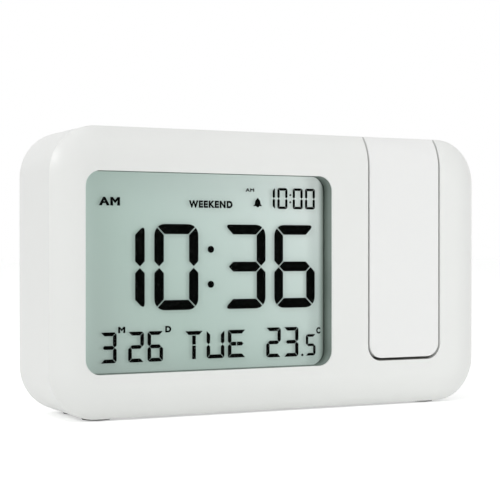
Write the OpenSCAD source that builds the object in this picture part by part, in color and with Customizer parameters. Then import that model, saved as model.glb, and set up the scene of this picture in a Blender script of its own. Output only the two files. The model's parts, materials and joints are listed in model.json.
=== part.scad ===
// Projection alarm clock: a shallow soft-edged case with a recessed reflective display
// and a projector arm that hinges up out of a pocket at the right of the face.
// X runs along the width, the face looks towards -Y and Z is up.
// The origin is on the table, below the middle of the case.

/* [Case] */
// Width of the case
case_w = 150; // [125:0.5:200]
// Height of the case without its feet
case_h = 87.5; // [72:0.5:120]
// Depth of the case from face to back
case_d = 35; // [34:0.5:50]
// Radius of the four corners seen from the front
corner_r = 14.4; // [12:0.1:20]
// Width of the soft edge round the face
edge_w = 10; // [7:0.5:11]
// Depth of the soft edge, from the face to the parting line
edge_d = 4; // [3:0.1:5]
// Radius of the edge round the back
back_edge_r = 2; // [1:0.1:2]
// Wall of the case
wall = 2; // [1.8:0.1:2.4]
// Height of the feet below the case
foot_h = 0.6; // [0.4:0.1:1.5]
// Radius of a foot
foot_r = 4.5; // [3:0.1:6]

/* [Display] */
// Border between the case's left side and the display opening
left_border = 9.9; // [9:0.1:20]
// Border above and below the display opening
top_border = 13.55; // [13:0.05:20]
// Bar between the display opening and the arm's pocket
mullion = 13.4; // [13:0.1:20]
// Corner radius of the display opening
opening_r = 4.7; // [2:0.1:8]
// Depth from the face to the display's window
recess_d = 5; // [4.5:0.1:6]
// Thickness of the dark lining round the recess
lining_t = 0.7; // [0.5:0.1:1]
// Thickness of the clear window
window_t = 0.8; // [0.6:0.1:1]
// Thickness of each glass of the liquid crystal cell
glass_t = 1; // [0.7:0.05:1.1]
// Thickness of a polarising film
film_t = 0.2; // [0.1:0.05:0.3]
// Thickness of the inked segments
segment_t = 0.1; // [0.05:0.01:0.15]
// Thickness of the light guide
guide_t = 2; // [1.5:0.1:2.2]
// Thickness of the circuit boards
board_t = 1.6; // [1:0.1:1.6]

/* [Projector arm] */
// Width of the arm
arm_w = 26.6; // [25:0.1:34]
// Thickness of the arm
arm_d = 15; // [14:0.1:16]
// Wall of the arm's shells
arm_wall = 1.6; // [1.2:0.1:1.8]
// Gap at each side of the arm
arm_gap = 0.7; // [0.5:0.1:1]
// Border between the arm and the case's right side
right_border = 16.3; // [16:0.1:24]
// Height of the arm's tip above the bottom of the case
tip_rise = 15.25; // [14:0.05:20]
// Gap below the arm's tip
tip_gap = 0.9; // [0.8:0.1:1.5]
// Radius of the arm's barrel about its hinge
hinge_r = 8.5; // [8.2:0.1:8.5]
// Outer radius of the hinge trunnions
trunnion_r = 3; // [2.5:0.1:3.2]
// Bore of the trunnions, which the lead runs through
trunnion_bore_r = 1.8; // [1.2:0.1:2]
// Outer radius of the sliding lens barrel
barrel_r = 4.4; // [4.2:0.05:4.5]
// Inner radius of the sliding lens barrel
barrel_bore_r = 3.6; // [3.4:0.05:3.7]
// Travel of the lens barrel each way
barrel_travel = 1.2; // [0.5:0.1:1.3]
// Outer radius of the knurled focus ring
ring_r = 7; // [6.8:0.1:7.1]
// Length of the focus ring
ring_len = 4.5; // [3:0.1:5]

/* [Batteries and keys] */
// Diameter of a cell
cell_d = 10.3; // [8:0.1:10.5]
// Length of a cell with its positive button
cell_len = 44.5; // [40:0.1:54]
// Thickness of the battery door
door_t = 1.9; // [1.5:0.1:1.9]
// Radius of a round key
key_r = 3.6; // [3:0.1:4.4]
// Distance between neighbouring keys
key_pitch = 13; // [12:0.1:13.5]
// Travel of a round key
key_travel = 0.6; // [0.4:0.05:0.7]
// Length of the snooze bar
snooze_len = 44; // [30:0.5:56]
// Width of the snooze bar
snooze_w = 11; // [9:0.5:12]
// Travel of the snooze bar
snooze_travel = 1; // [0.6:0.1:1.2]
// Travel of the slide switch's knob
knob_travel = 4; // [2:0.1:4.5]

/* [Fits] */
// Radial clearance of a turning or sliding fit
running_gap = 0.05; // [0.03:0.01:0.08]
// Gap round a part that drops into its opening
easy_gap = 0.25; // [0.2:0.05:0.35]
// Gap left for assembly between faces that seat
seat_gap = 0.1; // [0.05:0.05:0.15]

/* [Hidden] */
$fn = 64;
soft_fn = 180;
overlap = 0.5;
past = 1;

// Planes of the case
front_y = -case_d / 2;
back_y = case_d / 2;
parting_y = front_y + edge_d;
cover_in_y = front_y + wall;
back_in_y = back_y - wall;
base_z = foot_h;
top_z = base_z + case_h;
mid_z = base_z + case_h / 2;
top_in_z = top_z - wall;
side_x = case_w / 2;
edge_r = (edge_w * edge_w + edge_d * edge_d) / (2 * edge_d);
lip_t = 1;
lip_len = 2;
lip_clear = 4;

// Display opening and the stack behind it
arm_x1 = side_x - right_border;
arm_x0 = arm_x1 - arm_w;
arm_x = (arm_x0 + arm_x1) / 2;
slot_x0 = arm_x0 - arm_gap;
slot_x1 = arm_x1 + arm_gap;
open_x0 = -side_x + left_border;
open_x1 = slot_x0 - mullion;
open_w = open_x1 - open_x0;
open_x = (open_x0 + open_x1) / 2;
open_h = case_h - 2 * top_border;
lining_step = 0.5;
flange_w = 3.1;
flange_t = 0.8;
window_lap = 1.4;
contact_ledge = 2.4;
window_y = front_y + recess_d;
polar_y = window_y + window_t;
glass_y = polar_y + film_t;
segment_y = glass_y + glass_t;
rear_glass_y = segment_y + segment_t;
transflector_y = rear_glass_y + glass_t;
guide_y = transflector_y + film_t;
guide_back_y = guide_y + guide_t;
frame_floor = 1.6;
frame_back_y = guide_back_y + frame_floor;
board_back_y = frame_back_y + board_t;
frame_x0 = open_x0 - flange_w;
frame_x1 = open_x1 + flange_w;
frame_z0 = mid_z - open_h / 2 - flange_w - contact_ledge;
frame_z1 = mid_z + open_h / 2 + flange_w;
lamp_w = 1.2;
lamp_h = 3;
zebra_t = 2;
zebra_inset = 4;
channel_z = mid_z - open_h / 2 - window_lap - contact_ledge;
art_w = 83.1;
art_h = 60.4;
art_scale = min(open_w / art_w, open_h / art_h);

// Hinge and arm
axis_y = front_y + hinge_r;
axis_z = top_z - hinge_r;
tip_z = base_z + tip_rise;
slot_z = tip_z - tip_gap;
arm_back_y = front_y + arm_d;
arm_corner_r = 4.5;
ridge_sweep = sqrt(pow(parting_y - axis_y, 2) + pow(top_z - axis_z, 2));
sweep_gap = 0.48;
pocket_y = axis_y + ridge_sweep + sweep_gap;
cradle_wall = 1.6;
cradle_x0 = slot_x0 - cradle_wall;
cradle_x1 = slot_x1 + cradle_wall;
cradle_boss_r = trunnion_r + 2.4;
trunnion_boss = 0.8;
trunnion_head_t = 1.2;
trunnion_head_r = trunnion_r + 1.6;
washer_t = 0.4;
washer_r = trunnion_r + 1.8;
clip_t = 0.6;
clip_r = trunnion_r + 1.4;
groove_r = trunnion_r - 0.4;
boss_x = cradle_x1 + trunnion_boss;
clip_x = boss_x + washer_t + running_gap;
trunnion_x = clip_x + clip_t + 0.4;
tab_w = 4.8;
tab_t = 1.6;
tab_h = 7;
tab_y = cover_in_y + 4;
tab_x = [cradle_x0 - tab_w / 2, cradle_x1 + tab_w / 2];
board_post_rise = open_h / 2 + flange_w - 13.3;
tab_z = [mid_z - board_post_rise / 2, mid_z + board_post_rise / 2];
tab_post_r = 2.2;
tip_wall = 2;

// Optics, counted up from the arm's tip along its axis
bezel_r = 5.7;
bezel_t = 1.2;
barrel_set = 1.75;
barrel_z = tip_z + barrel_set;
barrel_len = 13;
lens_lip = 0.5;
lens_rim = 1.2;
lens_cap = 1.2;
nose_z = barrel_z + lens_lip + lens_rim + lens_cap + barrel_travel + 0.8;
holder_z = barrel_z + barrel_len + barrel_travel + 0.2;
holder_len = 16;
holder_w = 14;
holder_d = 9.4;
light_bore_r = 2.9;
condenser_r = 3.8;
condenser_z = holder_z + 6;
condenser_rim = 1;
condenser_cap = 1.6;
cell_slot_z = holder_z + 2.4;
cell_slot_h = 1.4;
image_w = 10;
image_d = 8;
image_x0 = arm_x - 4.5;
led_board_t = 1;
led_leg_x = 1.3;
ring_z = barrel_z + 6.4;
ring_side = 0.3;
rib_t = 1.4;

// Battery bay
bay_wall = 2.2;
bay_x0 = -side_x + 10;
bay_len = cell_len + 5;
bay_z0 = base_z + 17.4;
cell_step = cell_d + 0.6;
bay_h = cell_d + cell_step + 1;
cell_y = back_y - door_t - 0.6 - cell_d / 2;
bay_floor_y = cell_y - cell_d / 2 - 0.3;
plate_t = 0.4;
plate_w = 8;
plate_h = 8.8;
contact_reach = (bay_len - cell_len) / 2 - seat_gap;
door_lap = 1;
door_x0 = bay_x0 - door_lap;
door_x1 = bay_x0 + bay_len + door_lap;
door_axis_y = back_y - 1.1;
door_edge_r = 1.1;
door_axis_z = bay_z0 - door_lap + door_edge_r;
door_z1 = bay_z0 + bay_h + door_lap;
door_pin_r = 0.7;
door_pin_len = 1.6;
cell_z = [bay_z0 + 0.5 + cell_d / 2, bay_z0 + 0.5 + cell_d / 2 + cell_step];

// Keys and their board
panel_depth = 0.8;
panel_w = 44;
panel_h = 38;
panel_r = 3;
panel_x = side_x - 10 - panel_w / 2;
panel_z = base_z + 27.4 + panel_h / 2;
key_rows = [panel_z - 12, panel_z];
key_cols = [panel_x - key_pitch, panel_x, panel_x + key_pitch];
knob_z = panel_z + 12;
knob_w = 5;
knob_h = 4;
knob_stem = 2;
switch_back_y = back_in_y - 1.4;
key_flange_t = 0.7;
key_flange_w = 1;
key_back_y = back_in_y - seat_gap - key_flange_t;
tact_size = 6;
plunger_y = key_back_y - key_travel - seat_gap;
plunger_r = 1.6;
tact_body_y = plunger_y - 0.6;
key_board_y = tact_body_y - 3;
key_board_w = 42;
key_board_h = 36;
key_post_x = [panel_x - key_board_w / 2 + 2, panel_x + key_board_w / 2 - 2];
key_post_z = [panel_z - key_board_h / 2 + 2, panel_z + key_board_h / 2 - 2];

// Snooze bar
snooze_x = -side_x + 45;
snooze_y = front_y + 18;
snooze_flange = 1.2;
snooze_corner_r = snooze_w / 2 - 1;
snooze_flange_z = top_in_z - seat_gap - snooze_flange;
stem_r = 1.6;
stem_y = board_back_y + 2;
snooze_switch_z = frame_z1 - 0.6;
snooze_plunger = 1.5;
stem_z = snooze_switch_z + snooze_plunger + snooze_travel + seat_gap;

// Buzzer, inlet, vents and screws
buzzer_r = 8.5;
buzzer_d = 4.5;
buzzer_wall = 1;
buzzer_mouth_r = 4.5;
buzzer_x = open_x - 7;
buzzer_z = bay_z0 + bay_h + bay_wall + 11.2 + buzzer_r;
sound_hole_r = 0.7;
sound_ring_r = 3;
disc_t = 0.4;
jack_x = side_x - 17;
jack_z = base_z + 14.4;
jack_w = 9;
jack_h = 11;
jack_d = 11;
jack_bore_r = 2.8;
jack_floor = 1.5;
jack_pin_r = 0.65;
jack_collar_r = 4;
jack_rib_t = 1.2;
jack_rib_d = 8;
vent_x = open_x1 - 8;
vent_z = base_z + 11.4;
vent_w = 1;
vent_h = 8;
case_screws = [[-side_x + 8, top_z - 7.35], [side_x - 8, top_z - 7.35],
    [-side_x + 14, base_z + 4.9], [side_x - 14, base_z + 4.9]];
boss_r = 2.8;
boss_split_y = front_y + 19.5;
screw_seat_y = back_y - 12;
screw_r = 1.1;
screw_head_r = 2;
screw_head_t = 1.6;
screw_len = 11;
small_screw_r = 0.75;
small_head_r = 1.6;
small_head_t = 1.2;
hole_gap = 0.25;
board_post_x = [frame_x0 - 2.2, frame_x1 + 2.5];
board_post_z = [mid_z - board_post_rise, mid_z + board_post_rise];
board_post_r = 2;
board_screw_len = 6;
key_screw_len = 5;
tab_screw_len = 4.5;
arm_screw_len = 9;
foot_x = side_x - 17;
foot_y = [front_y + 10.5, back_y - 7.5];
arm_screw_x = [arm_x0 + 3.9, arm_x1 - 3.9];
arm_screw_z = [tip_z + 6.5, axis_z - 17];
arm_post_r = 2;
arm_seat_y = arm_back_y - 1.6;
lead_r = 0.9;
lead_joint_x = slot_x0 - 0.4;

// ---------- drawing helpers ----------

module along_x(x0, x1) {
    translate([x0, 0, 0])
        rotate([90, 0, 90])
            linear_extrude(x1 - x0)
                children();
}

module along_y(y0, y1) {
    translate([0, y1, 0])
        rotate([90, 0, 0])
            linear_extrude(y1 - y0)
                children();
}

module block(x0, x1, y0, y1, z0, z1) {
    translate([x0, y0, z0])
        cube([x1 - x0, y1 - y0, z1 - z0]);
}

module rod_x(y, z, r, x0, x1) {
    translate([x0, y, z])
        rotate([0, 90, 0])
            cylinder(r = r, h = x1 - x0);
}

module rod_y(x, z, r, y0, y1) {
    translate([x, y0, z])
        rotate([-90, 0, 0])
            cylinder(r = r, h = y1 - y0);
}

module rod_z(x, y, r, z0, z1) {
    translate([x, y, z0])
        cylinder(r = r, h = z1 - z0);
}

// Flat rectangle with round corners, centred
module round_rect(w, h, r) {
    square([w - 2 * r, h], center = true);
    square([w, h - 2 * r], center = true);
    for (x = [-1, 1])
        for (z = [-1, 1])
            translate([x * (w / 2 - r), z * (h / 2 - r)])
                circle(r);
}

module opening_outline(grow) {
    translate([open_x, mid_z])
        round_rect(open_w + 2 * grow, open_h + 2 * grow, opening_r + grow);
}

// Half section of a case end: distance from the corner's axis to the right, depth upwards
module end_section(inset, w, d, depth) {
    bulge_r = (w * w + d * d) / (2 * d);
    inner = corner_r - w;
    difference() {
        translate([0, inset])
            square([corner_r - inset, depth - inset]);
        difference() {
            translate([inner, 0])
                square([w + 1, d]);
            translate([inner, bulge_r])
                circle(bulge_r - inset, $fn = soft_fn);
        }
    }
}

// Case body from its soft end at the origin back to the given depth
module soft_body(inset, w, d, depth) {
    half_w = case_w / 2 - corner_r;
    half_h = case_h / 2 - corner_r;
    for (x = [-1, 1])
        for (z = [-1, 1])
            translate([x * half_w, 0, z * half_h])
                rotate([-90, 0, 0])
                    rotate_extrude()
                        end_section(inset, w, d, depth);
    for (side = [0, 1])
        mirror([side, 0, 0])
            translate([half_w, 0, half_h])
                mirror([0, 0, 1])
                    linear_extrude(2 * half_h)
                        end_section(inset, w, d, depth);
    for (side = [0, 1])
        mirror([0, 0, side])
            translate([-half_w, 0, half_h])
                rotate([90, 0, 90])
                    linear_extrude(2 * half_w)
                        rotate(90)
                            mirror([0, 1])
                                end_section(inset, w, d, depth);
    block(-half_w, half_w, inset, depth, -half_h, half_h);
}

// Children at each place of a grid in the (X, Z) plane
module at_each(columns, rows) {
    for (x = columns)
        for (z = rows)
            translate([x, 0, z])
                children();
}

// Round cable through a list of points
module wire(points, r) {
    for (i = [0:len(points) - 2]) {
        run = points[i + 1] - points[i];
        translate(points[i])
            rotate([0, acos(run[2] / norm(run)), atan2(run[1], run[0])])
                cylinder(r = r, h = norm(run));
    }
    for (i = [1:len(points) - 2])
        translate(points[i])
            sphere(r);
}

// ---------- case ----------

module slot_outline(grow) {
    r = arm_corner_r + tip_gap / 2 + grow;
    x0 = slot_x0 - grow;
    x1 = slot_x1 + grow;
    z0 = slot_z - grow;
    translate([x0, z0 + r])
        square([x1 - x0, top_z - z0]);
    translate([x0 + r, z0])
        square([x1 - x0 - 2 * r, 2 * r]);
    for (x = [x0 + r, x1 - r])
        translate([x, z0 + r])
            circle(r);
}

// Tongue behind the parting line, left away round the arm's slot
module cover_lip() {
    gap = wall + seat_gap;
    inner = wall + lip_t;
    end_y = parting_y + lip_len;
    difference() {
        translate([0, 0, mid_z])
            along_y(parting_y - overlap, end_y)
                round_rect(case_w - 2 * gap, case_h - 2 * gap, corner_r - gap);
        translate([0, 0, mid_z])
            along_y(parting_y - wall, end_y + past)
                round_rect(case_w - 2 * inner, case_h - 2 * inner, corner_r - inner);
        block(slot_x0 - lip_clear, slot_x1 + lip_clear, parting_y, end_y + past, axis_z - 6, top_z);
        block(slot_x0 - lip_clear, slot_x1 + lip_clear, parting_y - past, parting_y + past,
            top_z - edge_w, top_z);
    }
}

// Posts for the case screws, the circuit board and the cradle's tabs
module cover_posts() {
    for (at = case_screws)
        rod_y(at[0], at[1], boss_r, parting_y - 1.2, boss_split_y - seat_gap);
    at_each([board_post_x[0]], board_post_z)
        rod_y(0, 0, board_post_r, parting_y - 1.4, frame_back_y);
    at_each([board_post_x[1]], board_post_z)
        rod_y(0, 0, board_post_r, cover_in_y - overlap, frame_back_y);
    at_each(tab_x, tab_z)
        rod_y(0, 0, tab_post_r, cover_in_y - overlap, tab_y);
}

module cover_screw_bores() {
    for (at = case_screws)
        rod_y(at[0], at[1], screw_r + running_gap, parting_y, boss_split_y);
    at_each(board_post_x, board_post_z)
        rod_y(0, 0, small_screw_r + running_gap, parting_y, frame_back_y + past);
    at_each(tab_x, tab_z)
        rod_y(0, 0, small_screw_r + running_gap, cover_in_y, tab_y + past);
}

module front_cover() {
    color("#ebecea")
        difference() {
            union() {
                translate([0, front_y, mid_z])
                    difference() {
                        soft_body(0, edge_w, edge_d, edge_d);
                        soft_body(wall, edge_w, edge_d, edge_d + past);
                    }
                cover_lip();
                cover_posts();
            }
            along_y(front_y - past, front_y + lining_step)
                opening_outline(0);
            along_y(front_y + lining_step, cover_in_y + past)
                opening_outline(lining_t + seat_gap);
            block(frame_x0 - seat_gap, frame_x1 + seat_gap, cover_in_y, parting_y + past,
                frame_z0 - seat_gap, frame_z1 + seat_gap);
            along_y(front_y - past, parting_y + 3)
                slot_outline(0);
            cover_screw_bores();
        }
}

module bay_box(grow) {
    block(bay_x0 - grow, bay_x0 + bay_len + grow, bay_floor_y - grow, back_in_y + overlap,
        bay_z0 - grow, bay_z0 + bay_h + grow);
}

module door_opening() {
    block(door_x0 - easy_gap, door_x1 + easy_gap, back_y - door_t - seat_gap, back_y + 1,
        door_axis_z - door_edge_r - easy_gap, door_z1 + easy_gap);
}

// Walls, posts and ribs inside the housing
module housing_inside() {
    pivot_w = door_pin_len + 1;
    bay_box(bay_wall);
    for (x = [door_x0 - easy_gap - pivot_w, door_x1 + easy_gap])
        block(x, x + pivot_w, back_in_y - 1.6, back_in_y + overlap, bay_z0 - 3, door_axis_z + 2);
    for (at = case_screws)
        rod_y(at[0], at[1], boss_r, boss_split_y, back_in_y + overlap);
    at_each(key_post_x, key_post_z)
        rod_y(0, 0, board_post_r, key_board_y, back_in_y + overlap);
    for (x = [jack_x - jack_w / 2 - seat_gap - jack_rib_t, jack_x + jack_w / 2 + seat_gap])
        block(x, x + jack_rib_t, back_in_y - jack_rib_d, back_in_y + overlap,
            jack_z - jack_h / 2, jack_z + jack_h / 2);
}

// Battery bay, the door's opening and its hinge
module bay_cuts() {
    bay_box(0);
    door_opening();
    rod_x(door_axis_y, door_axis_z, door_edge_r + easy_gap, door_x0 - easy_gap, door_x1 + easy_gap);
    rod_x(door_axis_y, door_axis_z, door_pin_r + running_gap,
        door_x0 - door_pin_len - seat_gap, door_x1 + door_pin_len + seat_gap);
}

// Panel of the keys with their holes and the slide switch's slot
module panel_cuts() {
    slot_w = knob_w + knob_travel + 2 * easy_gap;
    slot_h = knob_h + 2 * easy_gap;
    along_y(back_y - panel_depth, back_y + past)
        translate([panel_x, panel_z])
            round_rect(panel_w, panel_h, panel_r);
    at_each(key_cols, key_rows)
        rod_y(0, 0, key_r + easy_gap, back_in_y - past, back_y);
    block(panel_x - slot_w / 2, panel_x + slot_w / 2, back_in_y - past, back_y,
        knob_z - slot_h / 2, knob_z + slot_h / 2);
    at_each(key_post_x, key_post_z)
        rod_y(0, 0, small_screw_r + running_gap, key_board_y - past, back_in_y - past);
}

// Openings in the top for the arm and the snooze bar
module top_cuts() {
    block(slot_x0, slot_x1, parting_y - past, pocket_y, top_in_z - past, top_z + past);
    translate([snooze_x, snooze_y, top_in_z - past])
        linear_extrude(wall + 2 * past)
            round_rect(snooze_len + 2 * easy_gap, snooze_w + 2 * easy_gap, snooze_corner_r + easy_gap);
}

// Sound holes, inlet, vents, screw holes and the feet's seats
module small_cuts() {
    for (at = case_screws) {
        rod_y(at[0], at[1], screw_r + hole_gap, boss_split_y - past, back_y + past);
        rod_y(at[0], at[1], screw_head_r + seat_gap, screw_seat_y, back_y + past);
    }
    rod_y(buzzer_x, buzzer_z, sound_hole_r, back_in_y - past, back_y + past);
    for (turn = [0:60:300])
        rod_y(buzzer_x + sound_ring_r * cos(turn), buzzer_z + sound_ring_r * sin(turn), sound_hole_r,
            back_in_y - past, back_y + past);
    rod_y(jack_x, jack_z, jack_collar_r + seat_gap, back_in_y - past, back_y + past);
    for (i = [-2:2])
        block(vent_x + 2 * i * vent_w - vent_w / 2, vent_x + 2 * i * vent_w + vent_w / 2,
            back_in_y - past, back_y + past, vent_z - vent_h / 2, vent_z + vent_h / 2);
    for (x = [-foot_x, foot_x])
        for (y = foot_y)
            rod_z(x, y, foot_r + seat_gap, base_z - past, base_z + foot_h);
}

module rear_housing() {
    color("#e9eae8")
        difference() {
            union() {
                difference() {
                    translate([0, back_y, mid_z])
                        mirror([0, 1, 0])
                            soft_body(0, back_edge_r, back_edge_r, back_y - parting_y);
                    translate([0, 0, mid_z])
                        along_y(parting_y - past, back_in_y)
                            round_rect(case_w - 2 * wall, case_h - 2 * wall, corner_r - wall);
                }
                housing_inside();
            }
            bay_cuts();
            panel_cuts();
            top_cuts();
            small_cuts();
        }
}

module battery_door() {
    grip_x0 = (door_x0 + door_x1) / 2 - 7;
    groove_h = 0.8;
    groove_d = 0.4;
    color("#e9eae8")
        difference() {
            union() {
                block(door_x0, door_x1, back_y - door_t, back_y, door_axis_z, door_z1);
                rod_x(door_axis_y, door_axis_z, door_edge_r, door_x0, door_x1);
                rod_x(door_axis_y, door_axis_z, door_pin_r, door_x0 - door_pin_len, door_x1 + door_pin_len);
            }
            for (drop = [3:2 * groove_h:7.8])
                block(grip_x0, grip_x0 + 14, back_y - groove_d, back_y + past,
                    door_z1 - drop - groove_h, door_z1 - drop);
        }
}

module snooze_bar() {
    color("#e4e5e3")
        union() {
            translate([snooze_x, snooze_y, snooze_flange_z])
                linear_extrude(top_z - snooze_flange_z)
                    round_rect(snooze_len, snooze_w, snooze_corner_r);
            translate([snooze_x, snooze_y, snooze_flange_z])
                linear_extrude(snooze_flange)
                    round_rect(snooze_len + 2 * snooze_flange, snooze_w + 2 * snooze_flange, snooze_w / 2);
            rod_z(snooze_x, stem_y, stem_r, stem_z, snooze_flange_z + overlap);
        }
}

module rubber_feet() {
    color("#3a3a3a")
        for (x = [-foot_x, foot_x])
            for (y = foot_y)
                rod_z(x, y, foot_r, 0, base_z + foot_h);
}

// ---------- display ----------

module display_surround() {
    color("#5d6863")
        difference() {
            union() {
                along_y(front_y + lining_step, window_y)
                    opening_outline(lining_t);
                block(frame_x0, frame_x1, cover_in_y, cover_in_y + flange_t, frame_z0, frame_z1);
            }
            along_y(front_y, window_y + past)
                opening_outline(0);
        }
}

// A flat layer of the display stack, longer at the bottom by the given drop
module layer(lap, y0, y1, drop) {
    block(open_x0 - lap, open_x1 + lap, y0, y1, mid_z - open_h / 2 - lap - drop, mid_z + open_h / 2 + lap);
}

module display_window() {
    color("white", 0.2)
        layer(window_lap, window_y, polar_y, 0);
}

module lcd_front_polarizer() {
    color("#b8c6bc", 0.3)
        layer(window_lap - 0.3, polar_y, glass_y, 0);
}

module lcd_front_glass() {
    color("#d6e6dc", 0.3)
        layer(window_lap, glass_y, segment_y, contact_ledge);
}

module lcd_rear_glass() {
    color("#d6e6dc", 0.3)
        layer(window_lap, rear_glass_y, transflector_y, 0);
}

module lcd_transflector() {
    color("#b7c8be")
        layer(window_lap - 0.3, transflector_y, guide_y, 0);
}

// Segments lit for each character, named a to g round the figure and m for a centre stroke
function lit(figure) =
    figure == "0" ? "abcdef" :
    figure == "1" ? "bc" :
    figure == "2" ? "abdeg" :
    figure == "3" ? "abcdg" :
    figure == "5" ? "acdfg" :
    figure == "6" ? "acdefg" :
    figure == "T" ? "am" :
    figure == "U" ? "bcdef" :
    "adefg";

// Upright stroke in the lower left quarter of a figure
module stroke(h, t, gap) {
    polygon([[0, gap], [t, t + gap], [t, h / 2 - t / 2 - gap], [t / 2, h / 2 - gap],
        [0, h / 2 - t / 2 - gap]]);
}

// Level stroke at the foot of a figure
module bar(w, t, gap) {
    polygon([[gap, 0], [w - gap, 0], [w - t - gap, t], [t + gap, t]]);
}

module figure_segment(name, w, h, t, gap) {
    if (name == "a")
        translate([0, h])
            mirror([0, 1])
                bar(w, t, gap);
    if (name == "b")
        translate([w, h])
            rotate(180)
                stroke(h, t, gap);
    if (name == "c")
        translate([w, 0])
            mirror([1, 0])
                stroke(h, t, gap);
    if (name == "d")
        bar(w, t, gap);
    if (name == "e")
        stroke(h, t, gap);
    if (name == "f")
        translate([0, h])
            mirror([0, 1])
                stroke(h, t, gap);
    if (name == "g")
        polygon([[t / 2 + gap, h / 2], [t + gap, h / 2 - t / 2], [w - t - gap, h / 2 - t / 2],
            [w - t / 2 - gap, h / 2], [w - t - gap, h / 2 + t / 2], [t + gap, h / 2 + t / 2]]);
    if (name == "m")
        translate([(w - t) / 2, 0])
            square([t, h - t - 2 * gap]);
}

module figure(character, x, z, w, h, t) {
    gap = t / 12;
    for (name = ["a", "b", "c", "d", "e", "f", "g", "m"])
        if (len(search(name, lit(character))) > 0)
            translate([x, z])
                figure_segment(name, w, h, t, gap);
}

module colon(x, z_low, z_high, r) {
    for (z = [z_low, z_high])
        translate([x, z])
            circle(r);
}

module display_art() {
    hours_w = 14.7;
    hours_h = 26.5;
    hours_z = -11.8;
    for (f = [["1", -34.85], ["0", -16.95], ["3", 6.45], ["6", 24.35]])
        figure(f[0], f[1], hours_z, hours_w, hours_h, 3.1);
    colon(2.05, -4, 6.9, 1.08);
    for (f = [["1", 20.95], ["0", 25.45], ["0", 31], ["0", 35.5]])
        figure(f[0], f[1], 19.8, 3.6, 6.7, 0.8);
    colon(30.1, 22, 24.3, 0.32);
    for (f = [["3", -34.35], ["2", -25.5], ["6", -19.2]])
        figure(f[0], f[1], -27.4, 5.1, 9.3, 1.15);
    for (f = [["T", -6.75], ["U", 0.6], ["E", 7.95]])
        figure(f[0], f[1], -27.1, 6.1, 8.7, 1.2);
    for (f = [["2", 21.45], ["3", 27.85]])
        figure(f[0], f[1], -27.5, 5.2, 9.5, 1.15);
    translate([34.5, -27.1])
        circle(0.4);
    figure("5", 35.8, -27.4, 3.55, 6.9, 0.85);
}

module lcd_segments() {
    color("#101210")
        along_y(segment_y, rear_glass_y)
            translate([open_x, mid_z])
                scale(art_scale)
                    display_art();
}

module backlight_block(grow) {
    block(open_x0 - window_lap, open_x0 - window_lap + lamp_w + grow, guide_y + 0.2 - grow, frame_back_y,
        mid_z - lamp_h / 2 - grow, mid_z + lamp_h / 2 + grow);
}

module light_guide() {
    color("#f4f6f2")
        difference() {
            layer(window_lap, guide_y, guide_back_y, 0);
            translate([-past, 0, 0])
                backlight_block(past + seat_gap);
        }
}

module backlight_led() {
    color("#f2ecc8")
        backlight_block(0);
}

module zebra_strip() {
    zebra_z = channel_z + 0.3;
    color("#d98f96")
        block(open_x0 + zebra_inset, open_x1 - zebra_inset, segment_y, frame_back_y,
            zebra_z, zebra_z + zebra_t);
}

module lcd_frame() {
    ledge = 2;
    cavity = window_lap + seat_gap;
    color("#f0f0ee")
        difference() {
            block(frame_x0, frame_x1, cover_in_y + flange_t, frame_back_y, frame_z0, frame_z1);
            layer(cavity, cover_in_y, guide_back_y, contact_ledge);
            layer(-ledge, cover_in_y, frame_back_y + past, 0);
            block(open_x0 + zebra_inset - seat_gap, open_x1 - zebra_inset + seat_gap, guide_back_y - past,
                frame_back_y + past, channel_z - seat_gap, channel_z + zebra_t + overlap);
            translate([-overlap, 0, 0])
                backlight_block(overlap + seat_gap);
        }
}

// ---------- boards ----------

module main_pcb() {
    edge = 1.8;
    color("#2f6b3f")
        difference() {
            union() {
                block(frame_x0, frame_x1, frame_back_y, board_back_y, frame_z0, frame_z1);
                block(board_post_x[0] - edge, board_post_x[1] + edge, frame_back_y, board_back_y,
                    board_post_z[0] - 4, board_post_z[1] + 4);
            }
            at_each(board_post_x, board_post_z)
                rod_y(0, 0, small_screw_r + hole_gap, frame_back_y - past, board_back_y + past);
        }
}

module clock_chip() {
    chip_w = 12;
    chip_x = open_x + 6;
    chip_z = mid_z + 14;
    leg_w = 0.4;
    leg_len = 1.6;
    color("#1e1e20")
        union() {
            block(chip_x - chip_w / 2, chip_x + chip_w / 2, board_back_y + 0.2, board_back_y + 1.8,
                chip_z - chip_w / 2, chip_z + chip_w / 2);
            for (i = [-4.5:4.5])
                for (side = [-1, 1])
                    translate([chip_x + i, board_back_y, chip_z + side * (chip_w / 2 + 0.4)])
                        block(-leg_w / 2, leg_w / 2, 0, 0.5, -leg_len / 2, leg_len / 2);
        }
}

module quartz_crystal() {
    can_x = open_x + 22;
    can_z = mid_z + 16;
    can_r = 1.5;
    leg_r = 0.2;
    color("#c4c6c8")
        union() {
            rod_z(can_x, board_back_y + can_r, can_r, can_z, can_z + 6);
            for (x = [can_x - 0.6, can_x + 0.6]) {
                rod_z(x, board_back_y + can_r, leg_r, can_z - 2, can_z + overlap);
                rod_y(x, can_z - 2, leg_r, board_back_y, board_back_y + can_r + leg_r);
            }
        }
}

module smoothing_capacitor() {
    can_x = open_x - 30;
    can_z = top_z - 20;
    can_r = 3.15;
    can_len = 6.5;
    color("#27374a")
        union() {
            rod_y(can_x, can_z, can_r, board_back_y, board_back_y + can_len);
            rod_y(can_x, can_z, can_r - 0.45, board_back_y + can_len, board_back_y + can_len + 0.3);
        }
}

module temperature_sensor() {
    lead_z = frame_z0 + 2;
    lead_len = 8.5;
    color("#8a3b2e")
        union() {
            translate([vent_x, board_back_y + lead_len + overlap, lead_z])
                sphere(1.3);
            for (x = [vent_x - 0.6, vent_x + 0.6])
                rod_y(x, lead_z, 0.25, board_back_y, board_back_y + lead_len);
        }
}

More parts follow.
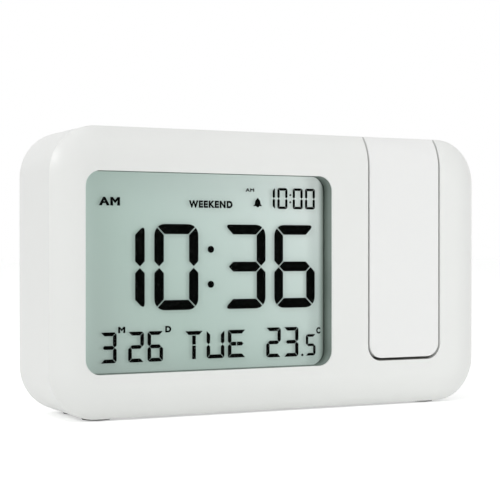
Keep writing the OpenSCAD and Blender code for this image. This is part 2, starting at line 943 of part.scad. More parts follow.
module snooze_switch() {
    body_w = 6;
    body_d = 4;
    body_h = 6;
    color("#2a2a2c")
        union() {
            block(snooze_x - body_w / 2, snooze_x + body_w / 2, board_back_y, board_back_y + body_d,
                snooze_switch_z - body_h, snooze_switch_z);
            rod_z(snooze_x, stem_y, 1.5, snooze_switch_z - overlap, snooze_switch_z + snooze_plunger);
        }
}

module key_pcb() {
    color("#2f6b3f")
        difference() {
            block(panel_x - key_board_w / 2, panel_x + key_board_w / 2, key_board_y - board_t, key_board_y,
                panel_z - key_board_h / 2, panel_z + key_board_h / 2);
            at_each(key_post_x, key_post_z)
                rod_y(0, 0, small_screw_r + hole_gap, key_board_y - board_t - past, key_board_y + past);
        }
}

module key_switches() {
    color("#2a2a2c")
        at_each(key_cols, key_rows) {
            block(-tact_size / 2, tact_size / 2, key_board_y, tact_body_y, -tact_size / 2, tact_size / 2);
            rod_y(0, 0, plunger_r, tact_body_y - overlap, plunger_y);
        }
}

module key(column, row) {
    color("#d9dbd8")
        union() {
            rod_y(key_cols[column], key_rows[row], key_r, key_back_y, back_y);
            rod_y(key_cols[column], key_rows[row], key_r + key_flange_w, key_back_y,
                key_back_y + key_flange_t);
        }
}

module mode_key() {
    key(0, 1);
}

module set_key() {
    key(1, 1);
}

module alarm_key() {
    key(2, 1);
}

module down_key() {
    key(0, 0);
}

module up_key() {
    key(1, 0);
}

module projection_key() {
    key(2, 0);
}

module slide_switch_body() {
    body_w = 12;
    body_h = 7;
    slot_w = knob_stem + knob_travel + 2 * easy_gap;
    slot_h = knob_stem + 2 * easy_gap;
    color("#b9bbbd")
        translate([panel_x, 0, knob_z])
            difference() {
                block(-body_w / 2, body_w / 2, key_board_y, switch_back_y, -body_h / 2, body_h / 2);
                block(-slot_w / 2, slot_w / 2, switch_back_y - 2, switch_back_y + past,
                    -slot_h / 2, slot_h / 2);
            }
}

// The knob rests at the left end of its slot, seen from the front
module slide_switch_knob() {
    color("#d9dbd8")
        translate([panel_x - knob_travel / 2, switch_back_y, knob_z]) {
            block(-knob_w / 2, knob_w / 2, 0.2, back_y - switch_back_y, -knob_h / 2, knob_h / 2);
            block(-knob_stem / 2, knob_stem / 2, -1.7, 0.3, -knob_stem / 2, knob_stem / 2);
        }
}

module buzzer_case() {
    color("#1f1f21")
        difference() {
            rod_y(buzzer_x, buzzer_z, buzzer_r, back_in_y - buzzer_d, back_in_y);
            rod_y(buzzer_x, buzzer_z, buzzer_r - buzzer_wall, back_in_y - buzzer_d + buzzer_wall,
                back_in_y - buzzer_wall);
            rod_y(buzzer_x, buzzer_z, buzzer_mouth_r, back_in_y - 2 * buzzer_wall, back_in_y + past);
        }
}

module piezo_disc() {
    color("#c9a24b")
        rod_y(buzzer_x, buzzer_z, buzzer_r - buzzer_wall - seat_gap, back_in_y - buzzer_wall - disc_t,
            back_in_y - buzzer_wall);
}

// ---------- power ----------

// The first cell's place, and the second one's, which points the other way
module each_cell() {
    for (i = [0, 1])
        translate([bay_x0 + bay_len / 2, cell_y, cell_z[i]])
            mirror([i, 0, 0])
                children();
}

module battery_cells() {
    nub_r = 1.9;
    nub_len = 1.2;
    color("#3d5a73")
        each_cell() {
            rod_x(0, 0, cell_d / 2 - seat_gap, -cell_len / 2, cell_len / 2 - nub_len);
            rod_x(0, 0, nub_r, cell_len / 2 - nub_len - overlap, cell_len / 2);
        }
}

// A cone for the coil spring at one end of each cell and a bent leaf at the other
module battery_contacts() {
    color("#c8cacc")
        each_cell()
            mirror([1, 0, 0]) {
                block(bay_len / 2 - plate_t, bay_len / 2, -plate_w / 2, plate_w / 2, -plate_h / 2,
                    plate_h / 2);
                translate([bay_len / 2, 0, 0])
                    rotate([0, -90, 0])
                        cylinder(r1 = 3, r2 = 1.6, h = contact_reach);
                block(-bay_len / 2, -bay_len / 2 + plate_t, -plate_w / 2, plate_w / 2, -plate_h / 2,
                    plate_h / 2);
                translate([-bay_len / 2, 0, -2.5])
                    linear_extrude(5)
                        polygon([[0, -3.4], [contact_reach, -0.3], [contact_reach, 0.3], [0, 3.4], [0, 2.9],
                            [contact_reach - 0.5, 0], [0, -2.9]]);
            }
}

module dc_jack() {
    color("#1c1c1e")
        union() {
            difference() {
                union() {
                    block(jack_x - jack_w / 2, jack_x + jack_w / 2, back_in_y - jack_d, back_in_y - seat_gap,
                        jack_z - jack_h / 2, jack_z + jack_h / 2);
                    rod_y(jack_x, jack_z, jack_collar_r, back_in_y - overlap, back_y - 0.5);
                }
                rod_y(jack_x, jack_z, jack_bore_r, back_in_y - jack_d + jack_floor, back_y);
            }
            rod_y(jack_x, jack_z, jack_pin_r, back_in_y - jack_d + jack_floor - overlap, back_in_y);
        }
}

// ---------- fasteners ----------

// Pan head screw with a round drive recess; the head's underside is at the given Y
module screw(x, z, seat_y, length) {
    rod_y(x, z, screw_r, seat_y - length, seat_y + screw_head_t / 2);
    difference() {
        rod_y(x, z, screw_head_r, seat_y, seat_y + screw_head_t);
        rod_y(x, z, screw_r * 0.8, seat_y + screw_head_t / 2, seat_y + screw_head_t + past);
    }
}

module small_screw(seat_y, length) {
    rod_y(0, 0, small_screw_r, seat_y - length, seat_y + small_head_t / 2);
    difference() {
        rod_y(0, 0, small_head_r, seat_y, seat_y + small_head_t);
        rod_y(0, 0, small_screw_r * 0.8, seat_y + small_head_t / 2, seat_y + small_head_t + past);
    }
}

module housing_screws() {
    color("#8e9093")
        for (at = case_screws)
            screw(at[0], at[1], screw_seat_y, screw_len);
}

module board_screws() {
    color("#8e9093")
        at_each(board_post_x, board_post_z)
            small_screw(board_back_y, board_screw_len);
}

module key_board_screws() {
    color("#8e9093")
        at_each(key_post_x, key_post_z)
            translate([0, key_board_y - board_t, 0])
                mirror([0, 1, 0])
                    small_screw(0, key_screw_len);
}

module cradle_screws() {
    color("#8e9093")
        at_each(tab_x, tab_z)
            small_screw(tab_y + tab_t, tab_screw_len);
}

// ---------- hinge ----------

// Room under the soft edge at the top of the cover, in the (Y, Z) plane
module under_edge(gap) {
    roof = wall + gap;
    floor_z = slot_z - cradle_wall;
    translate([front_y + edge_r, top_z - edge_w])
        intersection() {
            circle(edge_r - roof, $fn = soft_fn);
            square([2 * edge_r, 2 * edge_w], center = true);
        }
    translate([front_y + roof, floor_z])
        square([edge_r, top_z - edge_w - floor_z]);
    translate([front_y + edge_r, floor_z])
        square([edge_r, top_in_z - seat_gap - floor_z]);
}

module arm_cradle() {
    floor_z = slot_z - cradle_wall;
    color("#dcdedb")
        difference() {
            union() {
                along_x(cradle_x0, cradle_x1)
                    intersection() {
                        under_edge(seat_gap);
                        translate([cover_in_y, floor_z])
                            square([pocket_y + cradle_wall - cover_in_y, top_in_z - seat_gap - floor_z]);
                    }
                rod_x(axis_y, axis_z, cradle_boss_r, cradle_x0 - trunnion_boss, cradle_x1 + trunnion_boss);
                for (z = tab_z)
                    block(cradle_x0 - tab_w, cradle_x1 + tab_w, tab_y, tab_y + tab_t,
                        z - tab_h / 2, z + tab_h / 2);
            }
            block(slot_x0, slot_x1, cover_in_y - past, pocket_y, slot_z, top_z);
            rod_x(axis_y, axis_z, trunnion_r + running_gap, cradle_x0 - trunnion_boss - past,
                cradle_x1 + trunnion_boss + past);
            at_each(tab_x, tab_z)
                rod_y(0, 0, small_screw_r + hole_gap, tab_y - past, tab_y + tab_t + past);
        }
}

// Both hinge ends: the second is the first mirrored about the arm's middle
module both_ends() {
    children();
    translate([2 * arm_x, 0, 0])
        mirror([1, 0, 0])
            children();
}

module hinge_trunnions() {
    inner_x = arm_x1 - arm_wall - trunnion_head_t;
    color("#c9ccd0")
        both_ends()
            difference() {
                union() {
                    rod_x(axis_y, axis_z, trunnion_r, inner_x, trunnion_x);
                    rod_x(axis_y, axis_z, trunnion_head_r, inner_x, arm_x1 - arm_wall);
                }
                rod_x(axis_y, axis_z, trunnion_bore_r, inner_x - past, trunnion_x + past);
                difference() {
                    rod_x(axis_y, axis_z, trunnion_r + past, clip_x, clip_x + clip_t);
                    rod_x(axis_y, axis_z, groove_r, clip_x, clip_x + clip_t);
                }
            }
}

module friction_washers() {
    color("#d8dadc")
        both_ends()
            difference() {
                rod_x(axis_y, axis_z, washer_r, boss_x, boss_x + washer_t);
                rod_x(axis_y, axis_z, trunnion_r + running_gap, boss_x - past, boss_x + washer_t + past);
            }
}

// Open rings that snap into the trunnions' grooves from above
module retaining_rings() {
    mouth = 1.6;
    color("#aeb1b5")
        both_ends()
            difference() {
                rod_x(axis_y, axis_z, clip_r, clip_x, clip_x + clip_t);
                rod_x(axis_y, axis_z, groove_r + running_gap, clip_x - past, clip_x + clip_t + past);
                block(clip_x - past, clip_x + clip_t + past, axis_y - mouth, axis_y + mouth,
                    axis_z - 2 * clip_r, axis_z);
            }
}

// ---------- arm ----------

// Side view of the arm in the (Y, Z) plane
module arm_side() {
    translate([front_y, tip_z])
        square([arm_d, axis_z - tip_z]);
    translate([axis_y, axis_z])
        circle(hinge_r);
    translate([front_y, tip_z])
        square([axis_y - front_y, top_z - edge_w - tip_z]);
    intersection() {
        translate([front_y + edge_r, top_z - edge_w])
            circle(edge_r, $fn = soft_fn);
        translate([front_y, top_z - edge_w])
            square([axis_y - front_y, edge_w]);
    }
}

// Front view of the arm in the (X, Z) plane
module arm_front() {
    translate([arm_x0, tip_z + arm_corner_r])
        square([arm_w, top_z - tip_z]);
    translate([arm_x0 + arm_corner_r, tip_z])
        square([arm_w - 2 * arm_corner_r, 2 * arm_corner_r]);
    for (x = [arm_x0 + arm_corner_r, arm_x1 - arm_corner_r])
        translate([x, tip_z + arm_corner_r])
            circle(arm_corner_r);
}

module arm_hollow() {
    block(arm_x0 + arm_wall, arm_x1 - arm_wall, front_y + arm_wall, arm_back_y - arm_wall,
        tip_z + tip_wall, axis_z);
    rod_x(axis_y, axis_z, hinge_r - arm_wall, arm_x0 + arm_wall, arm_x1 - arm_wall);
}

module arm_body() {
    intersection() {
        along_x(arm_x0, arm_x1)
            arm_side();
        along_y(front_y - past, axis_y + hinge_r + past)
            arm_front();
    }
}

// Bores that both shells share along the split
module arm_bores() {
    rod_x(axis_y, axis_z, trunnion_r + running_gap, arm_x0 - past, arm_x1 + past);
    rod_z(arm_x, axis_y, barrel_r + 0.6, tip_z - past, tip_z + tip_wall + past);
    rod_z(arm_x, axis_y, bezel_r + running_gap, tip_z - past, tip_z + bezel_t);
    rod_z(arm_x, axis_y, ring_r + ring_side, ring_z - ring_side, ring_z + ring_len + ring_side);
}

// Ribs beside the focus ring carry the barrel, and the two above them the optics holder
module arm_ribs() {
    for (z = [ring_z - ring_side - rib_t, ring_z + ring_len + ring_side])
        difference() {
            block(arm_x0 + 1, arm_x1 - 1, front_y + 1, axis_y, z, z + rib_t);
            rod_z(arm_x, axis_y, barrel_r + 0.3, z - past, z + rib_t + past);
        }
    for (z = [holder_z + 3, holder_z + 11])
        block(arm_x0 + 1, arm_x1 - 1, front_y + 1, axis_y - holder_d / 2 - 0.15, z, z + rib_t);
}

module arm_front_shell() {
    color("#efefee")
        difference() {
            union() {
                difference() {
                    arm_body();
                    arm_hollow();
                }
                at_each(arm_screw_x, arm_screw_z)
                    rod_y(0, 0, arm_post_r, front_y + 1, axis_y);
                arm_ribs();
            }
            block(arm_x0 - past, arm_x1 + past, axis_y, axis_y + 2 * hinge_r, tip_z - past, top_z + past);
            arm_bores();
            at_each(arm_screw_x, arm_screw_z)
                rod_y(0, 0, small_screw_r + running_gap, front_y + 2, axis_y + past);
        }
}

module arm_back_shell() {
    color("#efefee")
        difference() {
            union() {
                difference() {
                    arm_body();
                    arm_hollow();
                }
                at_each(arm_screw_x, arm_screw_z)
                    rod_y(0, 0, arm_post_r, axis_y, arm_back_y - 1);
            }
            block(arm_x0 - past, arm_x1 + past, front_y - past, axis_y, tip_z - past, top_z + past);
            arm_bores();
            at_each(arm_screw_x, arm_screw_z) {
                rod_y(0, 0, small_screw_r + hole_gap, axis_y - past, arm_back_y + past);
                rod_y(0, 0, small_head_r + seat_gap, arm_seat_y, arm_back_y + past);
            }
        }
}

module arm_screws() {
    color("#8e9093")
        at_each(arm_screw_x, arm_screw_z)
            small_screw(arm_seat_y, arm_screw_len);
}

// ---------- optics ----------

module optics_holder() {
    color("#202224")
        difference() {
            union() {
                block(arm_x - holder_w / 2, arm_x + holder_w / 2, axis_y - holder_d / 2,
                    axis_y + holder_d / 2, holder_z, holder_z + holder_len);
                rod_z(arm_x, axis_y, barrel_bore_r - running_gap, nose_z, holder_z + overlap);
            }
            rod_z(arm_x, axis_y, light_bore_r, nose_z - past, holder_z + holder_len + past);
            block(image_x0 - seat_gap, arm_x + holder_w, axis_y - image_d / 2 - seat_gap,
                axis_y + image_d / 2 + seat_gap, cell_slot_z, cell_slot_z + cell_slot_h);
            rod_z(arm_x, axis_y, condenser_r + seat_gap, condenser_z, holder_z + holder_len + past);
        }
}

// Small display that the lamp shines through, with a tail towards +X for its lead
module image_lcd() {
    color("#8a978f")
        block(image_x0, image_x0 + image_w, axis_y - image_d / 2, axis_y + image_d / 2,
            cell_slot_z + seat_gap, cell_slot_z + cell_slot_h - seat_gap);
}

// Plano-convex lens: a disc with a spherical cap
module lens(z, r, rim, cap) {
    ball_r = (r * r + cap * cap) / (2 * cap);
    union() {
        rod_z(arm_x, axis_y, r, z, z + rim);
        intersection() {
            translate([arm_x, axis_y, z + rim + cap - ball_r])
                sphere(ball_r);
            rod_z(arm_x, axis_y, r, z + rim - seat_gap, z + rim + cap + past);
        }
    }
}

module condenser_lens() {
    color("#dfeaf0", 0.4)
        lens(condenser_z, condenser_r, condenser_rim, condenser_cap);
}

module projection_lens() {
    color("#dfeaf0", 0.4)
        lens(barrel_z + lens_lip, barrel_bore_r, lens_rim, lens_cap);
}

module led_board() {
    board_z = holder_z + holder_len;
    color("#2f6b3f")
        difference() {
            block(arm_x - holder_w / 2, arm_x + holder_w / 2, axis_y - holder_d / 2,
                axis_y + holder_d / 2, board_z, board_z + led_board_t);
            for (x = [arm_x - led_leg_x, arm_x + led_leg_x])
                rod_z(x, axis_y, 0.5, board_z - past, board_z + led_board_t + past);
        }
}

module projector_led() {
    led_z = holder_z + holder_len;
    led_r = 2.5;
    color("#e8f0ea", 0.6)
        union() {
            rod_z(arm_x, axis_y, led_r + 0.4, led_z - 1, led_z);
            rod_z(arm_x, axis_y, led_r, led_z - 4, led_z - overlap);
            translate([arm_x, axis_y, led_z - 4])
                sphere(led_r);
            for (x = [arm_x - led_leg_x, arm_x + led_leg_x])
                rod_z(x, axis_y, 0.25, led_z - overlap, led_z + led_board_t + 0.6);
        }
}

module lens_barrel() {
    color("#17181a")
        difference() {
            rod_z(arm_x, axis_y, barrel_r, barrel_z, barrel_z + barrel_len);
            rod_z(arm_x, axis_y, barrel_bore_r, barrel_z + lens_lip, barrel_z + barrel_len + past);
            rod_z(arm_x, axis_y, barrel_bore_r - 0.5, barrel_z - past, barrel_z + past);
        }
}

module focus_ring() {
    grooves = 28;
    groove_cut_r = 0.35;
    groove_at = ring_r + 0.1;
    color("#2b2d30")
        difference() {
            rod_z(arm_x, axis_y, ring_r, ring_z, ring_z + ring_len);
            rod_z(arm_x, axis_y, barrel_r + running_gap, ring_z - past, ring_z + ring_len + past);
            for (turn = [0:360 / grooves:359])
                rod_z(arm_x + groove_at * cos(turn), axis_y + groove_at * sin(turn), groove_cut_r,
                    ring_z - past, ring_z + ring_len + past);
        }
}

module lens_bezel() {
    color("#26282a")
        difference() {
            rod_z(arm_x, axis_y, bezel_r, tip_z, tip_z + bezel_t);
            rod_z(arm_x, axis_y, barrel_r + 0.4, tip_z - past, tip_z + bezel_t + past);
        }
}

// ---------- lead between arm and case ----------

// The lead is in two halves that meet on the hinge axis
module arm_lead() {
    plug_z = holder_z + holder_len + led_board_t;
    plug_y = axis_y + 2.6;
    color("#35373a")
        union() {
            block(arm_x - 4, arm_x + 4, plug_y - 1.5, plug_y + 1.5, plug_z, plug_z + 4);
            wire([[arm_x, plug_y, plug_z + 3], [arm_x, plug_y, axis_z], [arm_x, axis_y, axis_z],
                [lead_joint_x, axis_y, axis_z]], lead_r);
        }
}

module case_lead() {
    run_x = 2 * arm_x - trunnion_x - 2.4;
    run_y = board_back_y + 2;
    plug_z = frame_z1 - 8;
    plug_x = board_post_x[1] - 3;
    color("#35373a")
        union() {
            block(plug_x - 6, plug_x, board_back_y, board_back_y + 3.6, plug_z - 2.5, plug_z + 2.5);
            wire([[lead_joint_x, axis_y, axis_z], [run_x, axis_y, axis_z], [run_x, run_y, axis_z],
                [run_x, run_y, plug_z], [plug_x - 1, run_y, plug_z]], lead_r);
        }
}

front_cover();
rear_housing();
battery_door();
snooze_bar();
display_surround();
display_window();
lcd_front_polarizer();
lcd_front_glass();
lcd_segments();
lcd_rear_glass();
lcd_transflector();
light_guide();
backlight_led();
lcd_frame();
zebra_strip();
main_pcb();
clock_chip();
quartz_crystal();
smoothing_capacitor();
temperature_sensor();
snooze_switch();
key_pcb();
key_switches();
mode_key();
set_key();
up_key();
down_key();
alarm_key();
projection_key();
slide_switch_body();
slide_switch_knob();
buzzer_case();
piezo_disc();
battery_cells();
battery_contacts();
dc_jack();
housing_screws();
board_screws();
key_board_screws();
cradle_screws();
arm_cradle();
hinge_trunnions();
friction_washers();
retaining_rings();
arm_front_shell();
arm_back_shell();
arm_screws();
optics_holder();
led_board();
projector_led();
condenser_lens();
image_lcd();
lens_barrel();
projection_lens();
focus_ring();
lens_bezel();
arm_lead();
case_lead();
rubber_feet();
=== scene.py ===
# %% [markdown]
# # A projection alarm clock
#
# The real clock is a shallow white case of moulded ABS with a soft edge round its face. A
# reflective liquid crystal display lies in a recess with a dark lining, and a projector arm lies
# in a pocket at the right and hinges up out of it. The CAD model gives the frame: every size below
# is read from it or repeats its values, in millimetres. Blender adds the forms and finishes that a
# CAD solid lacks.

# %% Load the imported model
import json
import math

import bmesh
import bpy
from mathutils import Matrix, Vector


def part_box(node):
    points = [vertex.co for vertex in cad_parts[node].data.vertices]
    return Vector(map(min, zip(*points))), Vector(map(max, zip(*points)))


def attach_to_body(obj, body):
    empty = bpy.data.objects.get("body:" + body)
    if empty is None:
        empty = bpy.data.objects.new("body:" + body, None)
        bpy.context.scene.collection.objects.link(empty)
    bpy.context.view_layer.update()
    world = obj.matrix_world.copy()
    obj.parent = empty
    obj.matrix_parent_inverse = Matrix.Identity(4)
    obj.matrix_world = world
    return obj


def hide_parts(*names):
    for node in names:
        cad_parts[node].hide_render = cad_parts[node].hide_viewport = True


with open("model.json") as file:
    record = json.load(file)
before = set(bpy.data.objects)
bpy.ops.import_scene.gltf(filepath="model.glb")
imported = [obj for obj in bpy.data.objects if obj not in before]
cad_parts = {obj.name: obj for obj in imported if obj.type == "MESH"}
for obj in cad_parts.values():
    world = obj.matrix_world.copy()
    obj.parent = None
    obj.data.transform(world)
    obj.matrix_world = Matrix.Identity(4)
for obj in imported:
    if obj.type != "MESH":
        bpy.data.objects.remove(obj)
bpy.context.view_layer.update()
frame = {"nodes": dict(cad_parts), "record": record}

MM = 0.001

# %% [markdown]
# ## Camera, floor and light
#
# The camera stands where the photograph was taken from: a perspective fitted to the clock's
# outline puts it 445 mm away, level with the upper half of the case and turned 26 degrees to the
# left. A product photograph like this one is lit by large soft sources in a white room. Here an
# even sky fills the shadows, a softbox at the front left draws the soft edge, one overhead lights
# the top, and a weak low one at the right evens out the face. Their sum lights the face at about a
# strength of one, so that a colour shows as it is written.

# %% Camera
scene = bpy.context.scene
camera = bpy.data.objects.new("camera", bpy.data.cameras.new("camera"))
scene.collection.objects.link(camera)
CAMERA_PLACE, CAMERA_TURN, CAMERA_LENS = (-0.2006, -0.3980, 0.05105), -26.44, 98.58
camera.location = CAMERA_PLACE
camera.rotation_euler = (math.radians(90), 0, math.radians(CAMERA_TURN))
camera.data.sensor_width = 36
camera.data.lens = CAMERA_LENS
camera.data.clip_start = 0.02
scene.camera = camera
scene.view_settings.view_transform = "Standard"
print("camera at", [round(c / MM, 1) for c in camera.location])

# %% Selecting and shaping helpers
def only(*pieces):
    """Leaves these pieces selected, with the last one active."""
    bpy.ops.object.select_all(action="DESELECT")
    for piece in pieces:
        piece.select_set(True)
    bpy.context.view_layer.objects.active = pieces[-1]


def pick(piece, kind, test=lambda item: True):
    """Enters edit mode and selects the vertices, edges or faces that pass the test."""
    only(piece)
    bpy.ops.object.mode_set(mode="EDIT")
    bpy.ops.mesh.select_mode(type=kind)
    bpy.ops.mesh.select_all(action="DESELECT")
    shape = bmesh.from_edit_mesh(piece.data)
    items = {"VERT": shape.verts, "EDGE": shape.edges, "FACE": shape.faces}[kind]
    chosen = [item for item in items if test(item)]
    for item in chosen:
        item.select_set(True)
    shape.select_flush_mode()
    bmesh.update_edit_mesh(piece.data)
    return len(chosen)


def leave():
    bpy.ops.object.mode_set(mode="OBJECT")


def middle(edge):
    return (edge.verts[0].co + edge.verts[1].co) / 2 / MM


def along(edge, axis):
    """True if the edge runs along the axis: 0 for X, 1 for Y, 2 for Z."""
    run = edge.verts[1].co - edge.verts[0].co
    return run.length > 1e-7 and abs(run[axis]) > 0.999 * run.length


def sharp(edge, least=30):
    return len(edge.link_faces) == 2 and edge.calc_face_angle() > math.radians(least)


def bevel(piece, test, width, steps, **more):
    """Bevels the edges that pass the test and returns their number."""
    count = pick(piece, "EDGE", test)
    bpy.ops.mesh.bevel(offset=width * MM, segments=steps, affect="EDGES", **more)
    leave()
    return count


def outwards():
    """Turns every face of the piece in edit mode outwards and leaves edit mode."""
    bpy.ops.mesh.select_all(action="SELECT")
    bpy.ops.mesh.normals_make_consistent(inside=False)
    leave()


def settle(name):
    """Names the new piece and moves its place, turn and size into its mesh."""
    piece = bpy.context.object
    piece.name = piece.data.name = name
    only(piece)
    bpy.ops.object.transform_apply(location=True, rotation=True, scale=True)
    return piece


def block(name, x, y, z):
    """A block between two limits on each axis, to be shaped further."""
    centre = [(a + b) / 2 * MM for a, b in (x, y, z)]
    size = [(b - a) * MM for a, b in (x, y, z)]
    bpy.ops.mesh.primitive_cube_add(size=1, location=centre, scale=size)
    return settle(name)


def rod(name, axis, centre, radius, low, high, sides=48):
    """A round bar along an axis, through a point given by its two other coordinates."""
    place = list(centre)
    place.insert(axis, (low + high) / 2)
    turns = [(0, math.pi / 2, 0), (math.pi / 2, 0, 0), (0, 0, 0)]
    bpy.ops.mesh.primitive_cylinder_add(
        vertices=sides, radius=radius * MM, depth=(high - low) * MM,
        location=[c * MM for c in place], rotation=turns[axis])
    return settle(name)


def rods(name, axis, places, *sizes):
    """The same round bar through each of several places."""
    return [rod(name, axis, at, *sizes) for at in places]


def slab(name, x, y, z, corner, axis=1, steps=12):
    """A block whose four edges along one axis are rounded."""
    piece = block(name, x, y, z)
    bevel(piece, lambda e: along(e, axis), corner, steps)
    return piece


def extruded(piece, axis, distance):
    """Extrudes the whole piece, so far one face, along an axis."""
    pick(piece, "FACE")
    way = [0, 0, 0]
    way[axis] = distance * MM
    bpy.ops.mesh.extrude_region_move(TRANSFORM_OT_translate={"value": way})
    outwards()
    return piece


def drawn(name, axis, low, high, points):
    """An outline, drawn by its points' two other coordinates, extruded between two limits."""
    bpy.ops.mesh.primitive_circle_add(vertices=len(points), radius=1 * MM, fill_type="NGON")
    piece = settle(name)
    for vertex, point in zip(piece.data.vertices, points):
        place = list(point)
        place.insert(axis, low)
        vertex.co = Vector(place) * MM
    return extruded(piece, axis, high - low)


def arc(centre, radius, start, end, steps):
    """Points of an arc between two angles in degrees."""
    turns = [math.radians(start + (end - start) * i / steps) for i in range(steps + 1)]
    return [(centre[0] + radius * math.cos(t), centre[1] + radius * math.sin(t)) for t in turns]


def joined(name, pieces):
    only(*pieces)
    bpy.ops.object.join()
    piece = bpy.context.object
    piece.name = piece.data.name = name
    return piece


def cut(piece, *others, how="DIFFERENCE"):
    """Cuts the other pieces away, one after another."""
    for other in others:
        step = piece.modifiers.new("cut", "BOOLEAN")
        step.operation, step.solver, step.object = how, "EXACT", other
        only(piece)
        bpy.ops.object.modifier_apply(modifier=step.name)
        bpy.data.objects.remove(other)


def fuse(piece, *others):
    """Adds the other pieces, one after another."""
    cut(piece, *others, how="UNION")


def soften(piece, width, test, steps=2):
    """Rounds the sharp edges that pass the test, as the radius of a mould does."""
    found = pick(piece, "EDGE", lambda e: sharp(e) and test(middle(e)))
    bpy.ops.transform.edge_bevelweight(value=1)
    leave()
    edge = piece.modifiers.new("mould radius", "BEVEL")
    edge.limit_method, edge.width, edge.segments = "WEIGHT", width * MM, steps
    edge.use_clamp_overlap = True
    only(piece)
    bpy.ops.object.modifier_apply(modifier=edge.name)
    return found


def smooth(piece, angle):
    """Smooth shading that stays crisp at sharper corners and level on large faces."""
    only(piece)
    bpy.ops.object.shade_smooth_by_angle(angle=math.radians(angle), keep_sharp_edges=False)
    level = piece.modifiers.new("level faces", "WEIGHTED_NORMAL")
    level.keep_sharp = True
    bpy.ops.object.modifier_apply(modifier=level.name)


# %% [markdown]
# ## Materials
#
# Nearly everything on the outside is satin ABS, injected into a mould whose steel was lightly
# sandblasted. So the surface has an even grain a few tenths of a millimetre wide and a soft, wide
# highlight, and its colour drifts a little because pigment is never mixed perfectly. The same
# three ingredients, drift, grain and uneven gloss, are tuned for each plastic. The clear layers,
# metals and rubbers come after them.

# %% Colour and node helpers
def linear(code):
    """Turns an sRGB hex code into the linear colour that a shader expects."""
    parts = [int(code[i:i + 2], 16) / 255 for i in (1, 3, 5)]
    return (*[c / 12.92 if c <= 0.04045 else ((c + 0.055) / 1.055) ** 2.4 for c in parts], 1.0)


def per_metre(size):
    """Pattern scale for a feature of that many millimetres."""
    return 1000 / size


def add(owner, kind, links=None, **settings):
    """Adds a node, sets its sockets and properties, and links sockets to outputs."""
    node = owner.node_tree.nodes.new("ShaderNode" + kind)
    for name, value in settings.items():
        setattr(node, name, value)
    for socket, value in (links or {}).items():
        if isinstance(value, bpy.types.NodeSocket):
            owner.node_tree.links.new(value, node.inputs[socket])
        else:
            node.inputs[socket].default_value = value
    return node


def maths(owner, operation, *values):
    return add(owner, "Math", dict(enumerate(values)), operation=operation).outputs["Value"]


def noise(owner, place, size, detail=2.0):
    """Noise whose features are so many millimetres wide."""
    links = {"Vector": place, "Scale": per_metre(size), "Detail": detail}
    return add(owner, "TexNoise", links).outputs["Fac"]


def spread(owner, share, low, high):
    """A value between two limits, by a share."""
    links = {"Value": share, "To Min": low, "To Max": high}
    return add(owner, "MapRange", links).outputs["Result"]


def mixed(owner, share, first, second, **settings):
    """A colour between two, each a hex code or an output, by a share."""
    first, second = [linear(c) if isinstance(c, str) else c for c in (first, second)]
    links = {0: share, 6: first, 7: second}
    return add(owner, "Mix", links, data_type="RGBA", **settings).outputs[2]


def ramp(owner, share, stops):
    """A colour that runs through the stops, each a position and a hex code, by a share."""
    node = add(owner, "ValToRGB", {"Fac": share})
    elements = node.color_ramp.elements
    while len(elements) < len(stops):
        elements.new(0.5)
    for element, (position, code) in zip(elements, stops):
        element.position, element.color = position, linear(code)
    return node.outputs["Color"]


def relief(owner, height, depth, strength=1.0):
    """A surface normal that a height map of so many millimetres bends."""
    links = {"Height": height, "Distance": depth * MM, "Strength": strength}
    return add(owner, "Bump", links).outputs["Normal"]


def socket_of(material, name):
    """A socket of the shader by its name, with an underscore for each space."""
    return material.node_tree.nodes["Principled BSDF"].inputs[name.replace("_", " ")]


def begin(name, code, roughness, **sockets):
    """A new material with its shader's plain values set, and its object coordinates."""
    material = bpy.data.materials.new(name)
    material.use_nodes = True
    sockets.update(Base_Color=linear(code), Roughness=roughness)
    for socket, value in sockets.items():
        socket_of(material, socket).default_value = value
    return material, add(material, "TexCoord").outputs["Object"]


def attach(material, **outputs):
    """Links outputs to the shader's sockets of these names."""
    for socket, output in outputs.items():
        material.node_tree.links.new(output, socket_of(material, socket))


# %% Moulded plastic, the finish that most pieces share
def moulded(name, code, drift_code, roughness, grain=0.35, depth=0.012):
    """Satin plastic: colour drift over 30 mm, uneven gloss over 6 mm and the grain of the mould."""
    material, place = begin(name, code, roughness, IOR=1.53)
    gloss = spread(material, noise(material, place, 6, 3.0), roughness - 0.05, roughness + 0.05)
    attach(material, Base_Color=mixed(material, noise(material, place, 30), code, drift_code),
           Roughness=gloss, Normal=relief(material, noise(material, place, grain), depth, 0.6))
    return material


def fading(material, axis, start, end, code):
    """Lets a surface's colour fade to another one along an axis, between two places in mm."""
    first = socket_of(material, "Base_Color").links[0].from_socket
    place = add(material, "SeparateXYZ", {"Vector": add(material, "TexCoord").outputs["Object"]})
    links = {"Value": place.outputs[axis], "From Min": start * MM, "From Max": end * MM}
    share = add(material, "MapRange", links, interpolation_type="SMOOTHSTEP").outputs["Result"]
    colour = mixed(material, share, first, code)
    attach(material, Base_Color=colour)
    return colour


